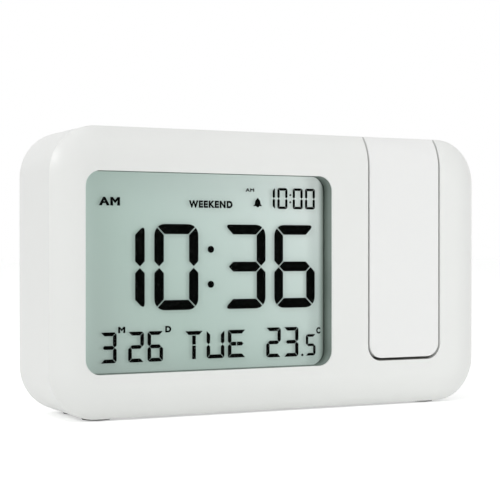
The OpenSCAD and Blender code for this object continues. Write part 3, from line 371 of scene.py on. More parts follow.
finish = {
    # The case: white ABS, bright and neutral with a trace of green, a fine satin grain
    "case_plastic": moulded("satin_white_ABS_moulding", "#ecedeb", "#e9eae8", 0.34),
    # The arm: the same plastic, a shade lighter and smoother
    "arm_plastic": moulded("smooth_white_ABS_moulding", "#efefee", "#ecedec", 0.38, grain=0.3),
    # Keys and bar: ABS with a little grey, polished by fingers
    "key_plastic": moulded("pale_grey_ABS_keys", "#dfe0de", "#dbdcda", 0.36, grain=0.4),
    # The recess: grey-green ABS with a matt texture that swallows reflections
    "lining_plastic": moulded("matt_grey_green_ABS_lining", "#828d87", "#7c8781", 0.6, grain=0.25),
    # Inner frames: unpainted polystyrene, slightly yellow
    "inner_plastic": moulded("natural_polystyrene_frame", "#e4e4de", "#dedfd8", 0.5, grain=0.6),
    # Lens parts, ring and inlet: black PBT, matt so that no stray light reaches the wall picture
    "dark_plastic": moulded("matt_black_PBT_moulding", "#1f2022", "#19191b", 0.52, grain=0.22,
                            depth=0.02)}
# Painted shade: the lining's colour darkens further back in the recess, where less light reaches
fading(finish["lining_plastic"], 1, -16.0, -12.6, "#56625b")
print(len(finish), "plastics")

# %% [markdown]
# ### The display's own layers
#
# A reflective display is read by the light of the room. Light goes through the clear window, the
# polariser and the two glasses, is scattered back by a silvery green sheet, and comes out where
# the liquid crystal lets it through. The layers in front are nearly invisible: each is a shader
# whose alpha lets most of what lies behind through, with a dark base colour, because clear plastic
# has a gloss but no white of its own. The sheet behind them carries the field's colour. Painted
# light makes it a little lighter at the right, towards the bright side of the room, and gives the
# sheet a faint glow.

# %% Clear layers in front of the display
def clear_layer(name, code, alpha, roughness, ior):
    """A thin clear layer: what is behind it shows through, and its skin keeps a faint gloss."""
    material, place = begin(name, code, roughness, IOR=ior, Alpha=alpha)
    smears = noise(material, place, 18)
    attach(material, Roughness=spread(material, smears, roughness, roughness + 0.06))
    return material


finish.update({
    # The window: injection moulded acrylic, polished in the mould
    "clear_plastic": clear_layer("polished_clear_acrylic_window", "#101312", 0.016, 0.06, 1.49),
    # The cell's glasses: thin float glass with a faint green edge
    "display_glass": clear_layer("thin_float_glass", "#0e1411", 0.006, 0.04, 1.52),
    # The polariser: stretched film with a satin hard coat that takes the glare off
    "polarizing_film": clear_layer("satin_coated_polariser_film", "#101412", 0.01, 0.3, 1.5),
    # Lenses: moulded acrylic
    "lens_plastic": clear_layer("moulded_acrylic_lens", "#dfe9ee", 0.28, 0.05, 1.49),
    # Lamps: clear epoxy, poured round the chip
    "lamp_plastic": clear_layer("clear_cast_epoxy_lamp", "#eef2e6", 0.55, 0.12, 1.51)})

# %% Reflector, light guide and liquid crystal
# Painted light: the sheet glows a little by an emission of its own, which keeps the corners of the
# field from going dark in the shade of the recess
material, place = begin("satin_transflective_film_with_painted_light", "#a2b0ab", 0.55, IOR=1.5,
                        Emission_Strength=0.79)
# Painted light: the field's colour grows lighter from its lower left corner to its upper right one
FIELD_WAY, FIELD_LOW, FIELD_HIGH = (1, 0, 0.8), -0.054, 0.078
across = add(material, "VectorMath", {0: place, 1: FIELD_WAY}, operation="DOT_PRODUCT")
width = add(material, "MapRange", {"Value": across.outputs["Value"], "From Min": FIELD_LOW,
                                   "From Max": FIELD_HIGH})
shades = ramp(material, width.outputs["Result"], [
    (0.1, "#909f99"), (0.35, "#92a39c"), (0.5, "#98a8a2"), (0.65, "#a1afaa"), (0.8, "#abb7b3"),
    (0.92, "#b7c0bd"), (1.0, "#bcc3c0")])
scatter = add(material, "TexNoise", {"Vector": place, "Scale": per_metre(0.12), "Detail": 1.0})
attach(material, Base_Color=mixed(material, 0.035, shades, scatter.outputs["Color"],
                                  blend_type="OVERLAY"))
# Painted light and shade: the colour is lighter along the left wall, against the shade it casts,
# and darker at the foot of the right wall, where its shade falls; the glow follows this colour
fading(material, 0, -58, -66, "#a0b0aa")
attach(material, Emission_Color=fading(material, 0, 16.9, 19.8, "#54625b"))
finish["transflective_film"] = material

# Light guide: acrylic with white printed dots, 1.2 mm apart, that send its light forward
material, place = begin("acrylic_light_guide_with_printed_dots", "#f2f5f1", 0.15, IOR=1.49)
dots = add(material, "TexVoronoi", {"Vector": place, "Scale": per_metre(1.2), "Randomness": 0.0})
attach(material, Base_Color=ramp(material, dots.outputs["Distance"],
                                 [(0.25, "#ffffff"), (0.32, "#e3e9e4")]))
finish["light_guide_plastic"] = material

# Driven segments: the crystal turns the light and the polariser stops it, so they are nearly black.
# They lie inside the laminate, where no air gap gives them a gloss
material, place = begin("dark_driven_liquid_crystal", "#050605", 0.8, Specular_IOR_Level=0.0)
attach(material, Base_Color=mixed(material, noise(material, place, 5), "#040504", "#070807"))
finish["display_ink"] = material
print("display finishes made")

# %% [markdown]
# ### Boards, metals and rubbers
#
# The inside is seen only through the battery bay, at the hinge and in an opened model. Each finish
# still starts from the real one: green solder mask over copper tracks, tin that was dipped and so
# has soft spangles, zinc plate with a fine turned grain, silicone and vinyl with a dull bloom.

# %% Circuit board
material, place = begin("green_solder_mask_on_glass_epoxy", "#2c6a3d", 0.28, IOR=1.55)
turned = add(material, "Mapping", {"Vector": place, "Rotation": (math.pi / 2, 0, 0)})
tracks = add(material, "TexBrick", {
    "Vector": turned.outputs["Vector"], "Scale": per_metre(6), "Mortar Size": 0.035,
    "Mortar Smooth": 0.1, "Color1": linear("#24603a"), "Color2": linear("#276740"),
    "Mortar": linear("#3f8a55")})
attach(material, Base_Color=tracks.outputs["Color"],
       Normal=relief(material, tracks.outputs["Fac"], 0.035))
finish["circuit_board"] = material


# %% Metals
def plated(name, code, dull_code, roughness, grain, stretch=(1, 1, 1)):
    """Metal with a grain that may run one way, as turning or rolling leaves it."""
    material, place = begin(name, code, roughness, Metallic=1.0)
    stretched = add(material, "Mapping", {"Vector": place, "Scale": stretch})
    marks = noise(material, stretched.outputs["Vector"], grain, 4.0)
    attach(material, Base_Color=mixed(material, marks, code, dull_code),
           Roughness=spread(material, marks, roughness - 0.08, roughness + 0.12),
           Normal=relief(material, marks, 0.006, 0.5))
    return material


finish["tinned_metal"] = plated("dipped_tin_plate", "#cfd1d2", "#b4b6b8", 0.3, 2.5)
finish["steel"] = plated("bright_zinc_plated_steel", "#b4b6b9", "#8f9194", 0.33, 0.8, (1, 3, 1))
finish["brass"] = plated("rolled_brass_sheet", "#cfae5c", "#b8953f", 0.3, 1.2, (6, 1, 1))


# %% Sleeves, rubbers and coatings
def banded(name, code, band_code, axis, period, share, roughness):
    """A sleeve or layered rubber with plain bands along one axis."""
    material, place = begin(name, code, roughness)
    run = add(material, "SeparateXYZ", {"Vector": place}).outputs[axis]
    part = maths(material, "FRACT", maths(material, "MULTIPLY", run, per_metre(period)))
    band = maths(material, "LESS_THAN", part, share)
    attach(material, Base_Color=mixed(material, band, code, band_code))
    return material


finish.update({
    # Cell sleeve: shrunk PVC, blue with one paler band, and no name on it
    "cell_wrap": banded("blue_shrunk_PVC_sleeve", "#35536d", "#c9ced2", 0, 60, 0.16, 0.28),
    # Capacitor sleeve: shrunk PET, navy with the pale stripe that marks its minus leg
    "capacitor_sleeve": banded("navy_shrunk_PET_sleeve", "#26364a", "#aab4bd", 0, 9, 0.15, 0.3),
    # Contact strip: thin layers of carbon-filled and plain silicone, drawn 0.5 mm apart
    "conductive_rubber": banded("layered_silicone_contact_strip", "#d0929a", "#2b2426", 0, 0.5,
                                0.4, 0.55),
    # Lead: soft black vinyl, feet: dark grey silicone rubber, sensor: dipped rust-coloured epoxy
    "lead_sleeve": moulded("soft_black_PVC_lead", "#2c2d30", "#242528", 0.45, grain=0.8),
    "foot_rubber": moulded("grey_silicone_rubber_foot", "#3c3c3c", "#333333", 0.7, grain=0.3,
                           depth=0.02),
    "sensor_coating": moulded("dipped_rust_epoxy", "#8a3b2e", "#7a3226", 0.25, grain=1.0)})

# %% Every CAD node takes its finish
slot_of = {row["node"]: row["material_slot"] for row in frame["record"]["subparts"]}
for name, node in frame["nodes"].items():
    node.data.materials.clear()
    node.data.materials.append(finish[slot_of[name]])
print(len(slot_of), "nodes dressed with", len(finish), "finishes")


def dress(piece, body, *replaced, slot=None, angle=32):
    """Gives a piece its shading, its material and its body, and hides the nodes that it stands for.
    """
    if angle:
        smooth(piece, angle)
    slot = slot or slot_of[replaced[0]]
    piece.data.materials.clear()
    piece.data.materials.append(finish[slot])
    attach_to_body(piece, body)
    if replaced:
        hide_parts(*replaced)
    size = [round(d / MM, 2) for d in piece.dimensions]
    print(f"{piece.name}: {len(piece.data.polygons)} faces, {size} mm")
    return piece


# %% [markdown]
# ## Front cover
#
# The face is one moulding: a flat panel, a soft edge 10 mm wide that curves back 4 mm to the
# parting line, the opening of the recess and the slot that the arm lies in. The edge has the same
# section all the way round. So the cover starts as a flat outline with rounded corners and is
# inset towards the face in small steps along the arc. The same outline, a wall thinner, hollows it
# out.

# %% Sizes that the case shares
CASE_W, CASE_H = 150, 87.5
TOP_Z, MID_Z, SIDE_X = 88.1, 44.35, 75
FRONT_Y, BACK_Y, PART_Y = -17.5, 17.5, -13.5
# Cutters reach a millimetre beyond the front and the back, so that no skin is left
BEFORE_Y, BEHIND_Y = FRONT_Y - 1, BACK_Y + 1
WALL, CORNER_R = 2, 14.4
# The soft edge round the face is an arc of this width, radius and middle, as (y, z) at the top
EDGE_W, EDGE_R = 10, 14.5
EDGE_MID = (FRONT_Y + EDGE_R, TOP_Z - EDGE_W)
OPEN_X, OPEN_Z, OPEN_R = (-65.1, 18.0), (14.15, 74.55), 4.7
SLOT_X, SLOT_Z, SLOT_R = (31.4, 59.4), 14.95, 4.95
ARM_X, ARM_MID = (32.1, 58.7), 45.4
AXIS_Y, AXIS_Z = -9.0, 79.6


def outline(name, inset, y):
    """The case's rounded outline as one face that looks to the front."""
    bpy.ops.mesh.primitive_plane_add(size=1, location=(0, y * MM, MID_Z * MM),
                                     rotation=(math.pi / 2, 0, 0))
    piece = bpy.context.object
    piece.scale = ((CASE_W - 2 * inset) * MM, (CASE_H - 2 * inset) * MM, 1)
    piece = settle(name)
    pick(piece, "VERT")
    bpy.ops.mesh.bevel(offset=(CORNER_R - inset) * MM, segments=16, affect="VERTICES")
    leave()
    return piece


def arc_steps(radius, start, steps):
    """Inset and rise of each step along an arc that ends level, from its start angle."""
    angles = [math.radians(start) * (1 - i / steps) for i in range(steps + 1)]
    for a, b in zip(angles, angles[1:]):
        yield radius * (math.sin(a) - math.sin(b)), radius * (math.cos(b) - math.cos(a))


def crown(piece, radius, start, steps, test=lambda f: True):
    """Insets the face that passes the test along the arc and closes the open side."""
    pick(piece, "FACE", test)
    for inset, rise in arc_steps(radius, start, steps):
        bpy.ops.mesh.inset(thickness=inset * MM, depth=rise * MM, use_even_offset=True)
    bpy.ops.mesh.select_mode(type="EDGE")
    bpy.ops.mesh.select_all(action="DESELECT")
    bpy.ops.mesh.select_non_manifold()
    bpy.ops.mesh.edge_face_add()
    outwards()
    return piece


def on_parting_edge(p):
    """True on the outer edge of the parting line, at the sides and round the corners."""
    corner = math.hypot(abs(p.x) - SIDE_X + CORNER_R, abs(p.z - MID_Z) - CASE_H / 2 + CORNER_R)
    return abs(p.y - PART_Y) < 0.01 and (
        abs(p.x) > SIDE_X - 0.1 or abs(p.z - MID_Z) > CASE_H / 2 - 0.15 or corner > CORNER_R - 0.1)


# %% Skin, hollow, posts and tongue
HOLLOW_INSET = 3.22
edge_turn = math.degrees(math.asin(EDGE_W / EDGE_R))
hollow_turn = math.degrees(math.asin((EDGE_W - HOLLOW_INSET) / (EDGE_R - WALL)))
cover = crown(outline("face_shell", 0, PART_Y), EDGE_R, edge_turn, 12)
hollow = crown(outline("hollow", HOLLOW_INSET, PART_Y), EDGE_R - WALL, hollow_turn, 6)
pick(hollow, "FACE", lambda f: f.normal.y > 0.9)
bpy.ops.mesh.extrude_region_move(TRANSFORM_OT_translate={"value": (0, 1 * MM, 0)})
leave()
cut(cover, hollow)

case_screws = [(-67, 80.75), (67, 80.75), (-61, 5.5), (61, 5.5)]
board_posts = [(-70.4, 24.35), (-70.4, 64.35), (23.6, 24.35), (23.6, 64.35)]
tab_posts = [(x, z) for x in (27.4, 63.4) for z in (34.35, 54.35)]
posts = rods("post", 1, case_screws, 2.8, -14.7, 1.9)
posts += [rod("post", 1, at, 2.0, -14.9 if at[0] < 0 else -16.0, -5.6) for at in board_posts]
posts += rods("post", 1, tab_posts, 2.2, -16.0, -11.5)
fuse(cover, joined("posts", posts))

tongue = slab("tongue", (-72.9, 72.9), (-14, -11.5), (2.7, 86.0), 12.3, steps=16)
# It leaves room for the arm's hinge
cut(tongue, slab("inside", (-72, 72), (-15.5, -10.5), (3.6, 85.1), 11.4, steps=16),
    block("room", (27.4, 63.4), (PART_Y, -10.5), (73.6, TOP_Z)),
    block("room", (27.4, 63.4), (-14.5, -12.5), (EDGE_MID[1], TOP_Z)))
fuse(cover, tongue)

# %% Opening, slot and screw bores
cut(cover, slab("opening", OPEN_X, (BEFORE_Y, -17.0), OPEN_Z, OPEN_R),
    slab("seat", (-65.9, 18.8), (-17.0, -14.5), (13.35, 75.35), OPEN_R + 0.8),
    block("frame room", (-68.3, 21.2), (-15.5, -12.5), (8.55, 77.75)),
    slab("slot", SLOT_X, (BEFORE_Y, -10.5), (SLOT_Z, 100), SLOT_R, steps=10))
bores = rods("bore", 1, case_screws, 1.15, -13.5, 3.0, 20)
bores += rods("bore", 1, board_posts, 0.8, -13.5, -4.6, 16)
bores += rods("bore", 1, tab_posts, 0.8, -15.5, -10.5, 16)
cut(cover, joined("bores", bores))

# %% Mould radii on the edges that show
in_slot = lambda p: SLOT_X[0] - 0.1 < p.x < SLOT_X[1] + 0.1 and p.z > SLOT_Z - 0.1
at_face = lambda p: p.y < FRONT_Y + 0.01
on_arc = lambda p: p.z > EDGE_MID[1] and p.y < PART_Y - 0.05 and abs(
    math.dist((p.y, p.z), EDGE_MID) - EDGE_R) < 0.06
soft = soften(cover, 0.1, lambda p: at_face(p) or in_slot(p) and on_arc(p), steps=3)
ridge = soften(cover, 0.12, on_parting_edge)
print(soft, "face edges and", ridge, "ridge edges rounded")
dress(cover, "case", "front_cover")

# %% [markdown]
# ## The recess and the display
#
# The lining is a second moulding in grey-green: it makes the walls of the recess, and its flange
# is trapped behind the cover. The display is a sandwich. Each layer is a few hundredths of a
# millimetre thinner than the gap it lies in, because two faces in exactly the same place flicker
# in a render. Glass has ground edges, so each plate gets a tiny chamfer.

# %% Lining
lining = slab("recess_lining", (-65.8, 18.7), (-17.0, -12.5), (13.45, 75.25), OPEN_R + 0.7)
fuse(lining, block("flange", (-68.2, 21.1), (-15.5, -14.7), (8.65, 77.65)))
cut(lining, slab("recess", OPEN_X, (BEFORE_Y, -11.5), OPEN_Z, OPEN_R))
soften(lining, 0.12, lambda p: p.y < -16.98)
dress(lining, "case", "display_surround")


# %% Window, film and glasses
def plate(name, node, chamfer, corner=0.6):
    """A flat layer in the place of a node, a trim thinner all round, with ground edges."""
    low, high = [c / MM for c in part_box(node)]
    x, y, z = [(a + LAYER_TRIM, b - LAYER_TRIM) for a, b in zip(low, high)]
    piece = slab(name, x, y, z, corner, steps=4)
    bevel(piece, sharp, chamfer, 1)
    return dress(piece, "case", node, angle=20)


LAYER_TRIM = 0.02
clear = [plate("viewing_window", "display_window", 0.12),
         plate("polariser_film", "lcd_front_polarizer", 0.02, corner=0.4),
         plate("cell_front_glass", "lcd_front_glass", 0.1, corner=0.3),
         plate("cell_rear_glass", "lcd_rear_glass", 0.1, corner=0.3)]
for layer in clear:
    # Light that falls on the reflector passes all of them unhindered
    layer.visible_shadow = layer.visible_diffuse = False
plate("reflector_sheet", "lcd_transflector", 0.02, corner=0.4)

# A thin border is printed on the back of the window, so that nobody sees past the reflector's edge.
# Its dark colour is also painted shade, for the shade at the foot of the recess's walls
border = slab("window_border_print_and_painted_shade", (-66.4, 19.3), (-11.71, -11.69), (12.85, 75.85), 0.6, steps=4)
cut(border, slab("field", (-65.4, 17.85), (-12, -11.5), (13.9, 74.8), OPEN_R, steps=8))
dress(border, "case", slot="lining_plastic", angle=None)

# %% [markdown]
# ### Figures and legends
#
# The figures are etched into the clear electrodes of the glass, so they are exact outlines with
# narrow gaps between their strokes. The CAD node holds each stroke: a copy of it is merged, and
# its outer corners are rounded as the photograph shows them. The small legends are generic words
# in Blender's own typeface, fitted to their places.

# %% Strokes of the figures
figures = frame["nodes"]["lcd_segments"].copy()
figures.data = figures.data.copy()
figures.name = figures.data.name = "figure_strokes"
figures.parent = None
scene.collection.objects.link(figures)
pick(figures, "VERT")
bpy.ops.mesh.remove_doubles(threshold=0.001 * MM)
bpy.ops.mesh.tris_convert_to_quads()
bpy.ops.mesh.select_all(action="SELECT")
bpy.ops.mesh.dissolve_limited(angle_limit=math.radians(1))
leave()


def corner_angle(edge):
    """Angle inside the outline at an upright edge that runs through the thickness."""
    return math.degrees(math.pi - edge.calc_face_angle_signed())


def round_tips(low, high, radius):
    """Rounds the strokes' sharp free tips between two heights from the middle."""
    return bevel(figures, lambda e: along(e, 1) and len(e.link_faces) == 2
                 and low < middle(e).z - MID_Z < high and corner_angle(e) < 60, radius, 4)


SEG_Y = (-11.0, -10.0)
# The bevel profile whose middle lies where that of a hollow quarter circle does
HOLLOW_ARC = 0.0858


def figure_corners(left, right, foot, top, which):
    """The chosen outer corners of a figure: 1 and 2 are the top ones, 3 and 4 the lower ones."""
    places = {"1": (left, top, 1, -1), "2": (right, top, -1, -1), "3": (left, foot, 1, 1),
              "4": (right, foot, -1, 1)}
    return [places[key] for key in which]


def round_corners(radius, rows):
    """Rounds the figures' chosen corners, each (x, z, way in across, way in up)."""
    places = [(x, MID_Z + z, across, up) for row in rows
              for x, z, across, up in figure_corners(*row)]
    blocks = [block("corner", sorted((x - across * 0.3, x + across * radius)), SEG_Y,
                    sorted((z - up * 0.3, z + up * radius))) for x, z, across, up in places]
    inner = [(x + across * radius, z + up * radius) for x, z, across, up in places]
    cutter = joined("corners", blocks)
    bevel(cutter, lambda e: along(e, 1) and any(
        math.hypot(middle(e).x - x, middle(e).z - z) < 0.01 for x, z in inner), radius, 6,
        profile=HOLLOW_ARC)
    cut(figures, cutter)


# Each figure's left, right, foot and top, up from the middle, and its corners that are rounded
round_corners(3.4, [(-40.5, -25.8, -11.8, 14.7, "1234"), (-17.1, -2.4, -11.8, 14.7, "24"),
                    (0.8, 15.5, -11.8, 14.7, "134")])
round_corners(0.75, [(left, left + 3.6, 19.8, 26.5, "1234") for left in (1.9, 7.45, 11.95)])
round_corners(0.9, [(-57.9, -52.8, -27.4, -18.1, "24"), (-49.05, -43.95, -27.4, -18.1, "23"),
                    (-42.75, -37.65, -27.4, -18.1, "134"), (-22.95, -16.85, -27.1, -18.4, "34"),
                    (-2.1, 3.1, -27.5, -18.0, "23"), (4.3, 9.5, -27.5, -18.0, "24"),
                    (12.25, 15.8, -27.4, -20.5, "14")])
tips = round_tips(-14, 16, 1.9) + round_tips(17, 28, 0.2) + round_tips(-29, -16, 0.25)
print(tips, "tips rounded")
# The letters have one more gap each: halfway down the T's stem and halfway along the E's middle bar
cut(figures, block("stem gap", (-28.2, -26.6), SEG_Y, (MID_Z - 22.9, MID_Z - 22.6)),
    block("bar gap", (-12.75, -12.45), SEG_Y, (MID_Z - 23.6, MID_Z - 21.9)))
dress(figures, "case", "lcd_segments", slot="display_ink", angle=None)


# %% Legends
def word(text, x, z, bold):
    """Generic lettering, fattened by a share of its size, then fitted to its limits."""
    bpy.ops.object.text_add(rotation=(math.pi / 2, 0, 0))
    piece = bpy.context.object
    piece.data.body = text
    piece.data.size = 1
    piece.data.extrude = 0.1
    piece.data.space_character = 1 + 4 * bold
    only(piece)
    bpy.ops.object.convert(target="MESH")
    piece = settle(text)
    pick(piece, "VERT")
    bpy.ops.mesh.remove_doubles(threshold=0.004)
    bpy.ops.mesh.normals_make_consistent(inside=False)
    bpy.ops.transform.shrink_fatten(value=bold, use_even_offset=True)
    leave()
    limits = (x, STROKE_Y, [MID_Z + height for height in z])
    for i, (low, high) in enumerate(limits):
        places = [v.co[i] for v in piece.data.vertices]
        first, last = min(places), max(places)
        for v in piece.data.vertices:
            share = (v.co[i] - first) / (last - first)
            v.co[i] = (low + share * (high - low)) * MM
    return piece


STROKE_Y = (-10.5, -10.4)
words = [word("AM", (-58.5, -51.7), (20.1, 22.7), 0.07),
         word("WEEKEND", (-29.0, -14.0), (19.8, 22.1), 0.07),
         word("AM", (-9.5, -6.4), (25.1, 26.2), 0.05),
         word("M", (-52.3, -50.0), (-18.4, -16.5), 0.065),
         word("D", (-36.9, -34.9), (-18.6, -16.6), 0.065),
         word("C", (16.1, 17.6), (-20.4, -18.3), 0.055)]
dress(joined("legend_words", words), "case", slot="display_ink", angle=None)

# %% Alarm bell, drawn as half an outline and mirrored
BELL_X, BELL_Z = -5.15, MID_Z + 20.2
half = [(0.0, 2.95), (0.28, 2.85), (0.3, 2.6), (0.72, 2.3), (0.92, 1.8), (0.98, 1.2), (1.15, 0.8),
        (1.5, 0.55), (1.5, 0.4), (0.45, 0.4), (0.38, 0.12), (0.0, 0.0)]
around = half + [(-x, z) for x, z in reversed(half[1:-1])]
bell = drawn("alarm_bell", 1, *STROKE_Y, [(BELL_X + x, BELL_Z + z) for x, z in around])
dress(bell, "case", slot="display_ink", angle=None)

# %% [markdown]
# ## Rear housing
#
# The back of the case is a deep tray. Its wall runs from the parting line to a rounded back edge,
# and everything that works from behind or above is cut through it: the battery bay, the sunken
# panel of the keys, the sound holes, the inlet, the vents, the screw wells, the bar's opening and
# the notch for the arm's hinge. The outline is extruded and inset round the edge, and each opening
# is then cut with a shape of its own, so that it can be moved.

# %% Tray
BACK_R = 2
straight_to = BACK_Y - BACK_R
housing = extruded(outline("housing_shell", 0, PART_Y), 1, straight_to - PART_Y)
crown(housing, BACK_R, 90, 8,
      lambda f: abs(f.calc_center_median().y - straight_to * MM) < 1e-6)
print("tray box in mm:", [round(d / MM, 2) for d in housing.dimensions])
cut(housing, slab("hollow", (-73, 73), (-14.5, 15.5), (2.6, 86.1), 12.4, steps=16))

# %% Bay walls, pivots, posts and ribs
BAY_X, BAY_Z, BAY_Y = (-65, -15.5), (18.0, 40.2), 4.4
DOOR_X, DOOR_Z, PIVOT_Y, PIVOT_Z = (-66, -14.5), (17.0, 41.2), 16.4, 18.1
# Walls, posts and ribs run 0.3 mm into the back wall
BAY_WALL, IN_BACK = 2.2, 15.8
inside = [block("bay", (BAY_X[0] - BAY_WALL, BAY_X[1] + BAY_WALL), (BAY_Y - BAY_WALL, IN_BACK),
                (BAY_Z[0] - BAY_WALL, BAY_Z[1] + BAY_WALL))]
inside += [block("pivot", (x, x + 2.6), (13.9, IN_BACK), (15.0, 15.75)) for x in (-68.85, -14.25)]
inside += rods("post", 1, case_screws, 2.8, 2.0, IN_BACK)
key_posts = [(x, z) for x in (24, 62) for z in (31, 63)]
inside += rods("post", 1, key_posts, 2.0, 9.4, IN_BACK)
inside += [block("rib", (x, x + 1.2), (7.5, IN_BACK), (9.5, 20.5)) for x in (52.2, 62.6)]
fuse(housing, *inside)

# %% Battery bay and door opening
GAP_X, GAP_Z, PIVOT = (-66.25, -14.25), (16.75, 41.45), (PIVOT_Y, PIVOT_Z)
cut(housing, block("bay", BAY_X, (BAY_Y, 16.0), BAY_Z),
    block("door opening", GAP_X, (15.5, BEHIND_Y), GAP_Z),
    rod("round", 0, PIVOT, 1.35, *GAP_X, 32), rod("pins", 0, PIVOT, 0.75, -67.7, -12.8, 24))

# %% Panel of the keys
KEY_X, KEY_Z = (30, 43, 56), (35, 47)
PANEL_X, PANEL_Y, PANEL_Z = (21, 65), 16.7, (28, 66)
cut(housing, slab("panel", PANEL_X, (PANEL_Y, BEHIND_Y), PANEL_Z, 3.0))
holes = [rod("hole", 1, (x, z), 3.85, 14.5, 17.5) for x in KEY_X for z in KEY_Z]
holes += [slab("slot", (38.25, 47.75), (14.5, 17.5), (56.75, 61.25), 0.4, steps=4)]
holes += rods("bore", 1, key_posts, 0.8, 8.4, 14.5, 16)
cut(housing, joined("holes", holes))

# %% Openings in the top
cut(housing, block("notch", SLOT_X, (-14.5, 1.1), (85.1, 89.1)))
cut(housing, slab("bar opening", (-52.25, -7.75), (-5.25, 6.25), (85.1, 89.1), 4.75, axis=2))

# %% Sound holes, inlet, vents, screw wells and seats of the feet
BUZZER, SOUND_R, JACK, THROUGH_Y = (-30.55, 62.1), 3, (58, 15.0), (14.5, BEHIND_Y)
small = rods("sound", 1, [BUZZER] + arc(BUZZER, SOUND_R, 0, 300, 5), 0.7, *THROUGH_Y, 20)
small += [slab("vent", (x - 0.5, x + 0.5), THROUGH_Y, (8, 16), 0.49, steps=6)
          for x in (6, 8, 10, 12, 14)]
small += [rod("inlet", 1, JACK, 4.1, *THROUGH_Y)]
small += [rod("foot", 2, (x, y), 4.6, -0.4, 1.2) for x in (-58, 58) for y in (-7, 10)]
cut(housing, joined("small openings", small))
cut(housing, joined("wells", rods("well", 1, case_screws, 2.1, 5.5, BEHIND_Y, 32)))
cut(housing, joined("bores", rods("bore", 1, case_screws, 1.35, 0.9, 6.5, 20)))

# %% Mould radii on the edges that show
at_back = lambda p: p.y > BACK_Y - 0.01
at_panel = lambda p: abs(p.y - PANEL_Y) < 0.01 and PANEL_X[0] - 0.5 < p.x < PANEL_X[1] + 0.5
at_top = lambda p: p.z > TOP_Z - 0.01 and p.y > PART_Y + 0.05
print(soften(housing, 0.18, lambda p: at_back(p) or at_top(p)), "outer edges rounded")
print(soften(housing, 0.12, lambda p: at_panel(p) or on_parting_edge(p)), "finer edges rounded")
dress(housing, "case", "rear_housing")

# %% [markdown]
# ## Projector arm
#
# The arm is a slim box that lies in the slot, flush with the face, and swings up round two hollow
# stubs at its top. It is moulded in two halves that meet at the level of the hinge axis. Each half
# starts as its side view, is extruded across its width and has the two corners of the tip rounded.
# The hollow, the posts, the ribs and the bores follow.

# %% Both halves
ARM_Y, TIP_Z, TIP_R, HINGE_R = (-17.5, -2.5), 15.85, 4.5, 8.5
OPTICS, SEAT_R = (ARM_MID, AXIS_Y), 5.75
back_to = -math.degrees(math.acos((ARM_Y[1] - AXIS_Y) / HINGE_R))
front_side = [(AXIS_Y, TIP_Z), (ARM_Y[0], TIP_Z)]
front_side += arc(EDGE_MID, EDGE_R, 180, 180 - edge_turn, 14) + [(AXIS_Y, TOP_Z)]
back_side = [(ARM_Y[1], TIP_Z), (AXIS_Y, TIP_Z)]
back_side += arc((AXIS_Y, AXIS_Z), HINGE_R, 90, back_to, 24)
arm_posts = [(x, z) for x in (36.0, 54.8) for z in (22.35, 62.6)]


def arm_half(name, side, post_limits, hole_radius, hole_limits):
    """One half of the arm with its hollow, posts and bores."""
    half = drawn(name, 0, *ARM_X, side)
    bevel(half, lambda e: along(e, 1) and middle(e).z < TIP_Z + 0.01, TIP_R, 12)
    cut(half, block("hollow", (33.7, 57.1), (-15.9, -4.1), (17.85, AXIS_Z)),
        rod("hollow round the hinge", 0, (AXIS_Y, AXIS_Z), 6.9, 33.7, 57.1, 64))
    posts = rods("post", 1, arm_posts, 2.0, *post_limits, 32)
    fuse(half, joined("posts", posts))
    if post_limits[0] < AXIS_Y:
        for z in (22.3, 28.8):
            fuse(half, block("rib", (33.1, 57.7), (-16.5, AXIS_Y), (z, z + 1.4)))
        for z in (35.0, 43.0):
            fuse(half, block("rib", (33.1, 57.7), (-16.5, -13.85), (z, z + 1.4)))
    cut(half, rod("hinge", 0, (AXIS_Y, AXIS_Z), 3.05, 30, 60),
        rod("barrel hole", 2, OPTICS, 5.0, 14, 18.85, 64),
        rod("rib holes", 2, OPTICS, 4.7, 20, 31, 64),
        rod("bezel seat", 2, OPTICS, SEAT_R, 14, 17.05, 64),
        rod("ring slot", 2, OPTICS, 7.3, 23.7, 28.8, 72))
    holes = rods("hole", 1, arm_posts, hole_radius, *hole_limits, 20)
    cut(half, joined("holes", holes))
    return half


def at_side(p):
    return p.x < ARM_X[0] + 0.01 or p.x > ARM_X[1] - 0.01


def outer_arm(p):
    """True on the outside of the arm's face, sides and tip, off the parting line and the bezel."""
    at_bezel = p.z < TIP_Z + 0.01 and abs(math.dist((p.x, p.y), OPTICS) - SEAT_R) < 0.3
    outside = p.y < ARM_Y[0] + 0.01 or p.z < TIP_Z + 0.01 or at_side(p)
    return outside and abs(p.y - AXIS_Y) > 0.02 and not at_bezel


front = arm_half("arm_face_half", front_side, (-16.5, AXIS_Y), 0.8, (-15.5, -8))
print(soften(front, 0.1, outer_arm, steps=3), "face edges rounded")
print(soften(front, 0.1, lambda p: abs(p.y - AXIS_Y) < 0.01 and at_side(p), steps=1),
      "parting edges rounded")
dress(front, "projector_arm", "arm_front_shell")

back = arm_half("arm_back_half", back_side, (AXIS_Y, -3.5), 1.0, (-9.5, -2))
cut(back, joined("wells", rods("well", 1, arm_posts, 1.7, -4.1, -2.0, 32)))
at_rear = lambda p: p.y > ARM_Y[1] - 0.01
print(soften(back, 0.35, lambda p: abs(p.y - AXIS_Y) > 0.02 and (
    at_side(p) or p.z < TIP_Z + 0.01 and at_rear(p)), steps=3), "back edges rounded")
print(soften(back, 0.12, lambda p: at_rear(p) and 34 < p.x < 57 and p.z < 74),
      "slot and well edges rounded")
dress(back, "projector_arm", "arm_back_shell")

# %% [markdown]
# ### Lens, barrel, ring and bezel
#
# Everything on the optical axis is round, so it is spun from its section: the bezel in the tip,
# the barrel that slides through it, the lens in the barrel's mouth and the ring that focuses it.
# The rim of the ring sticks out of the arm's back, and every fourth face round it is sunk for the
# fingertip.

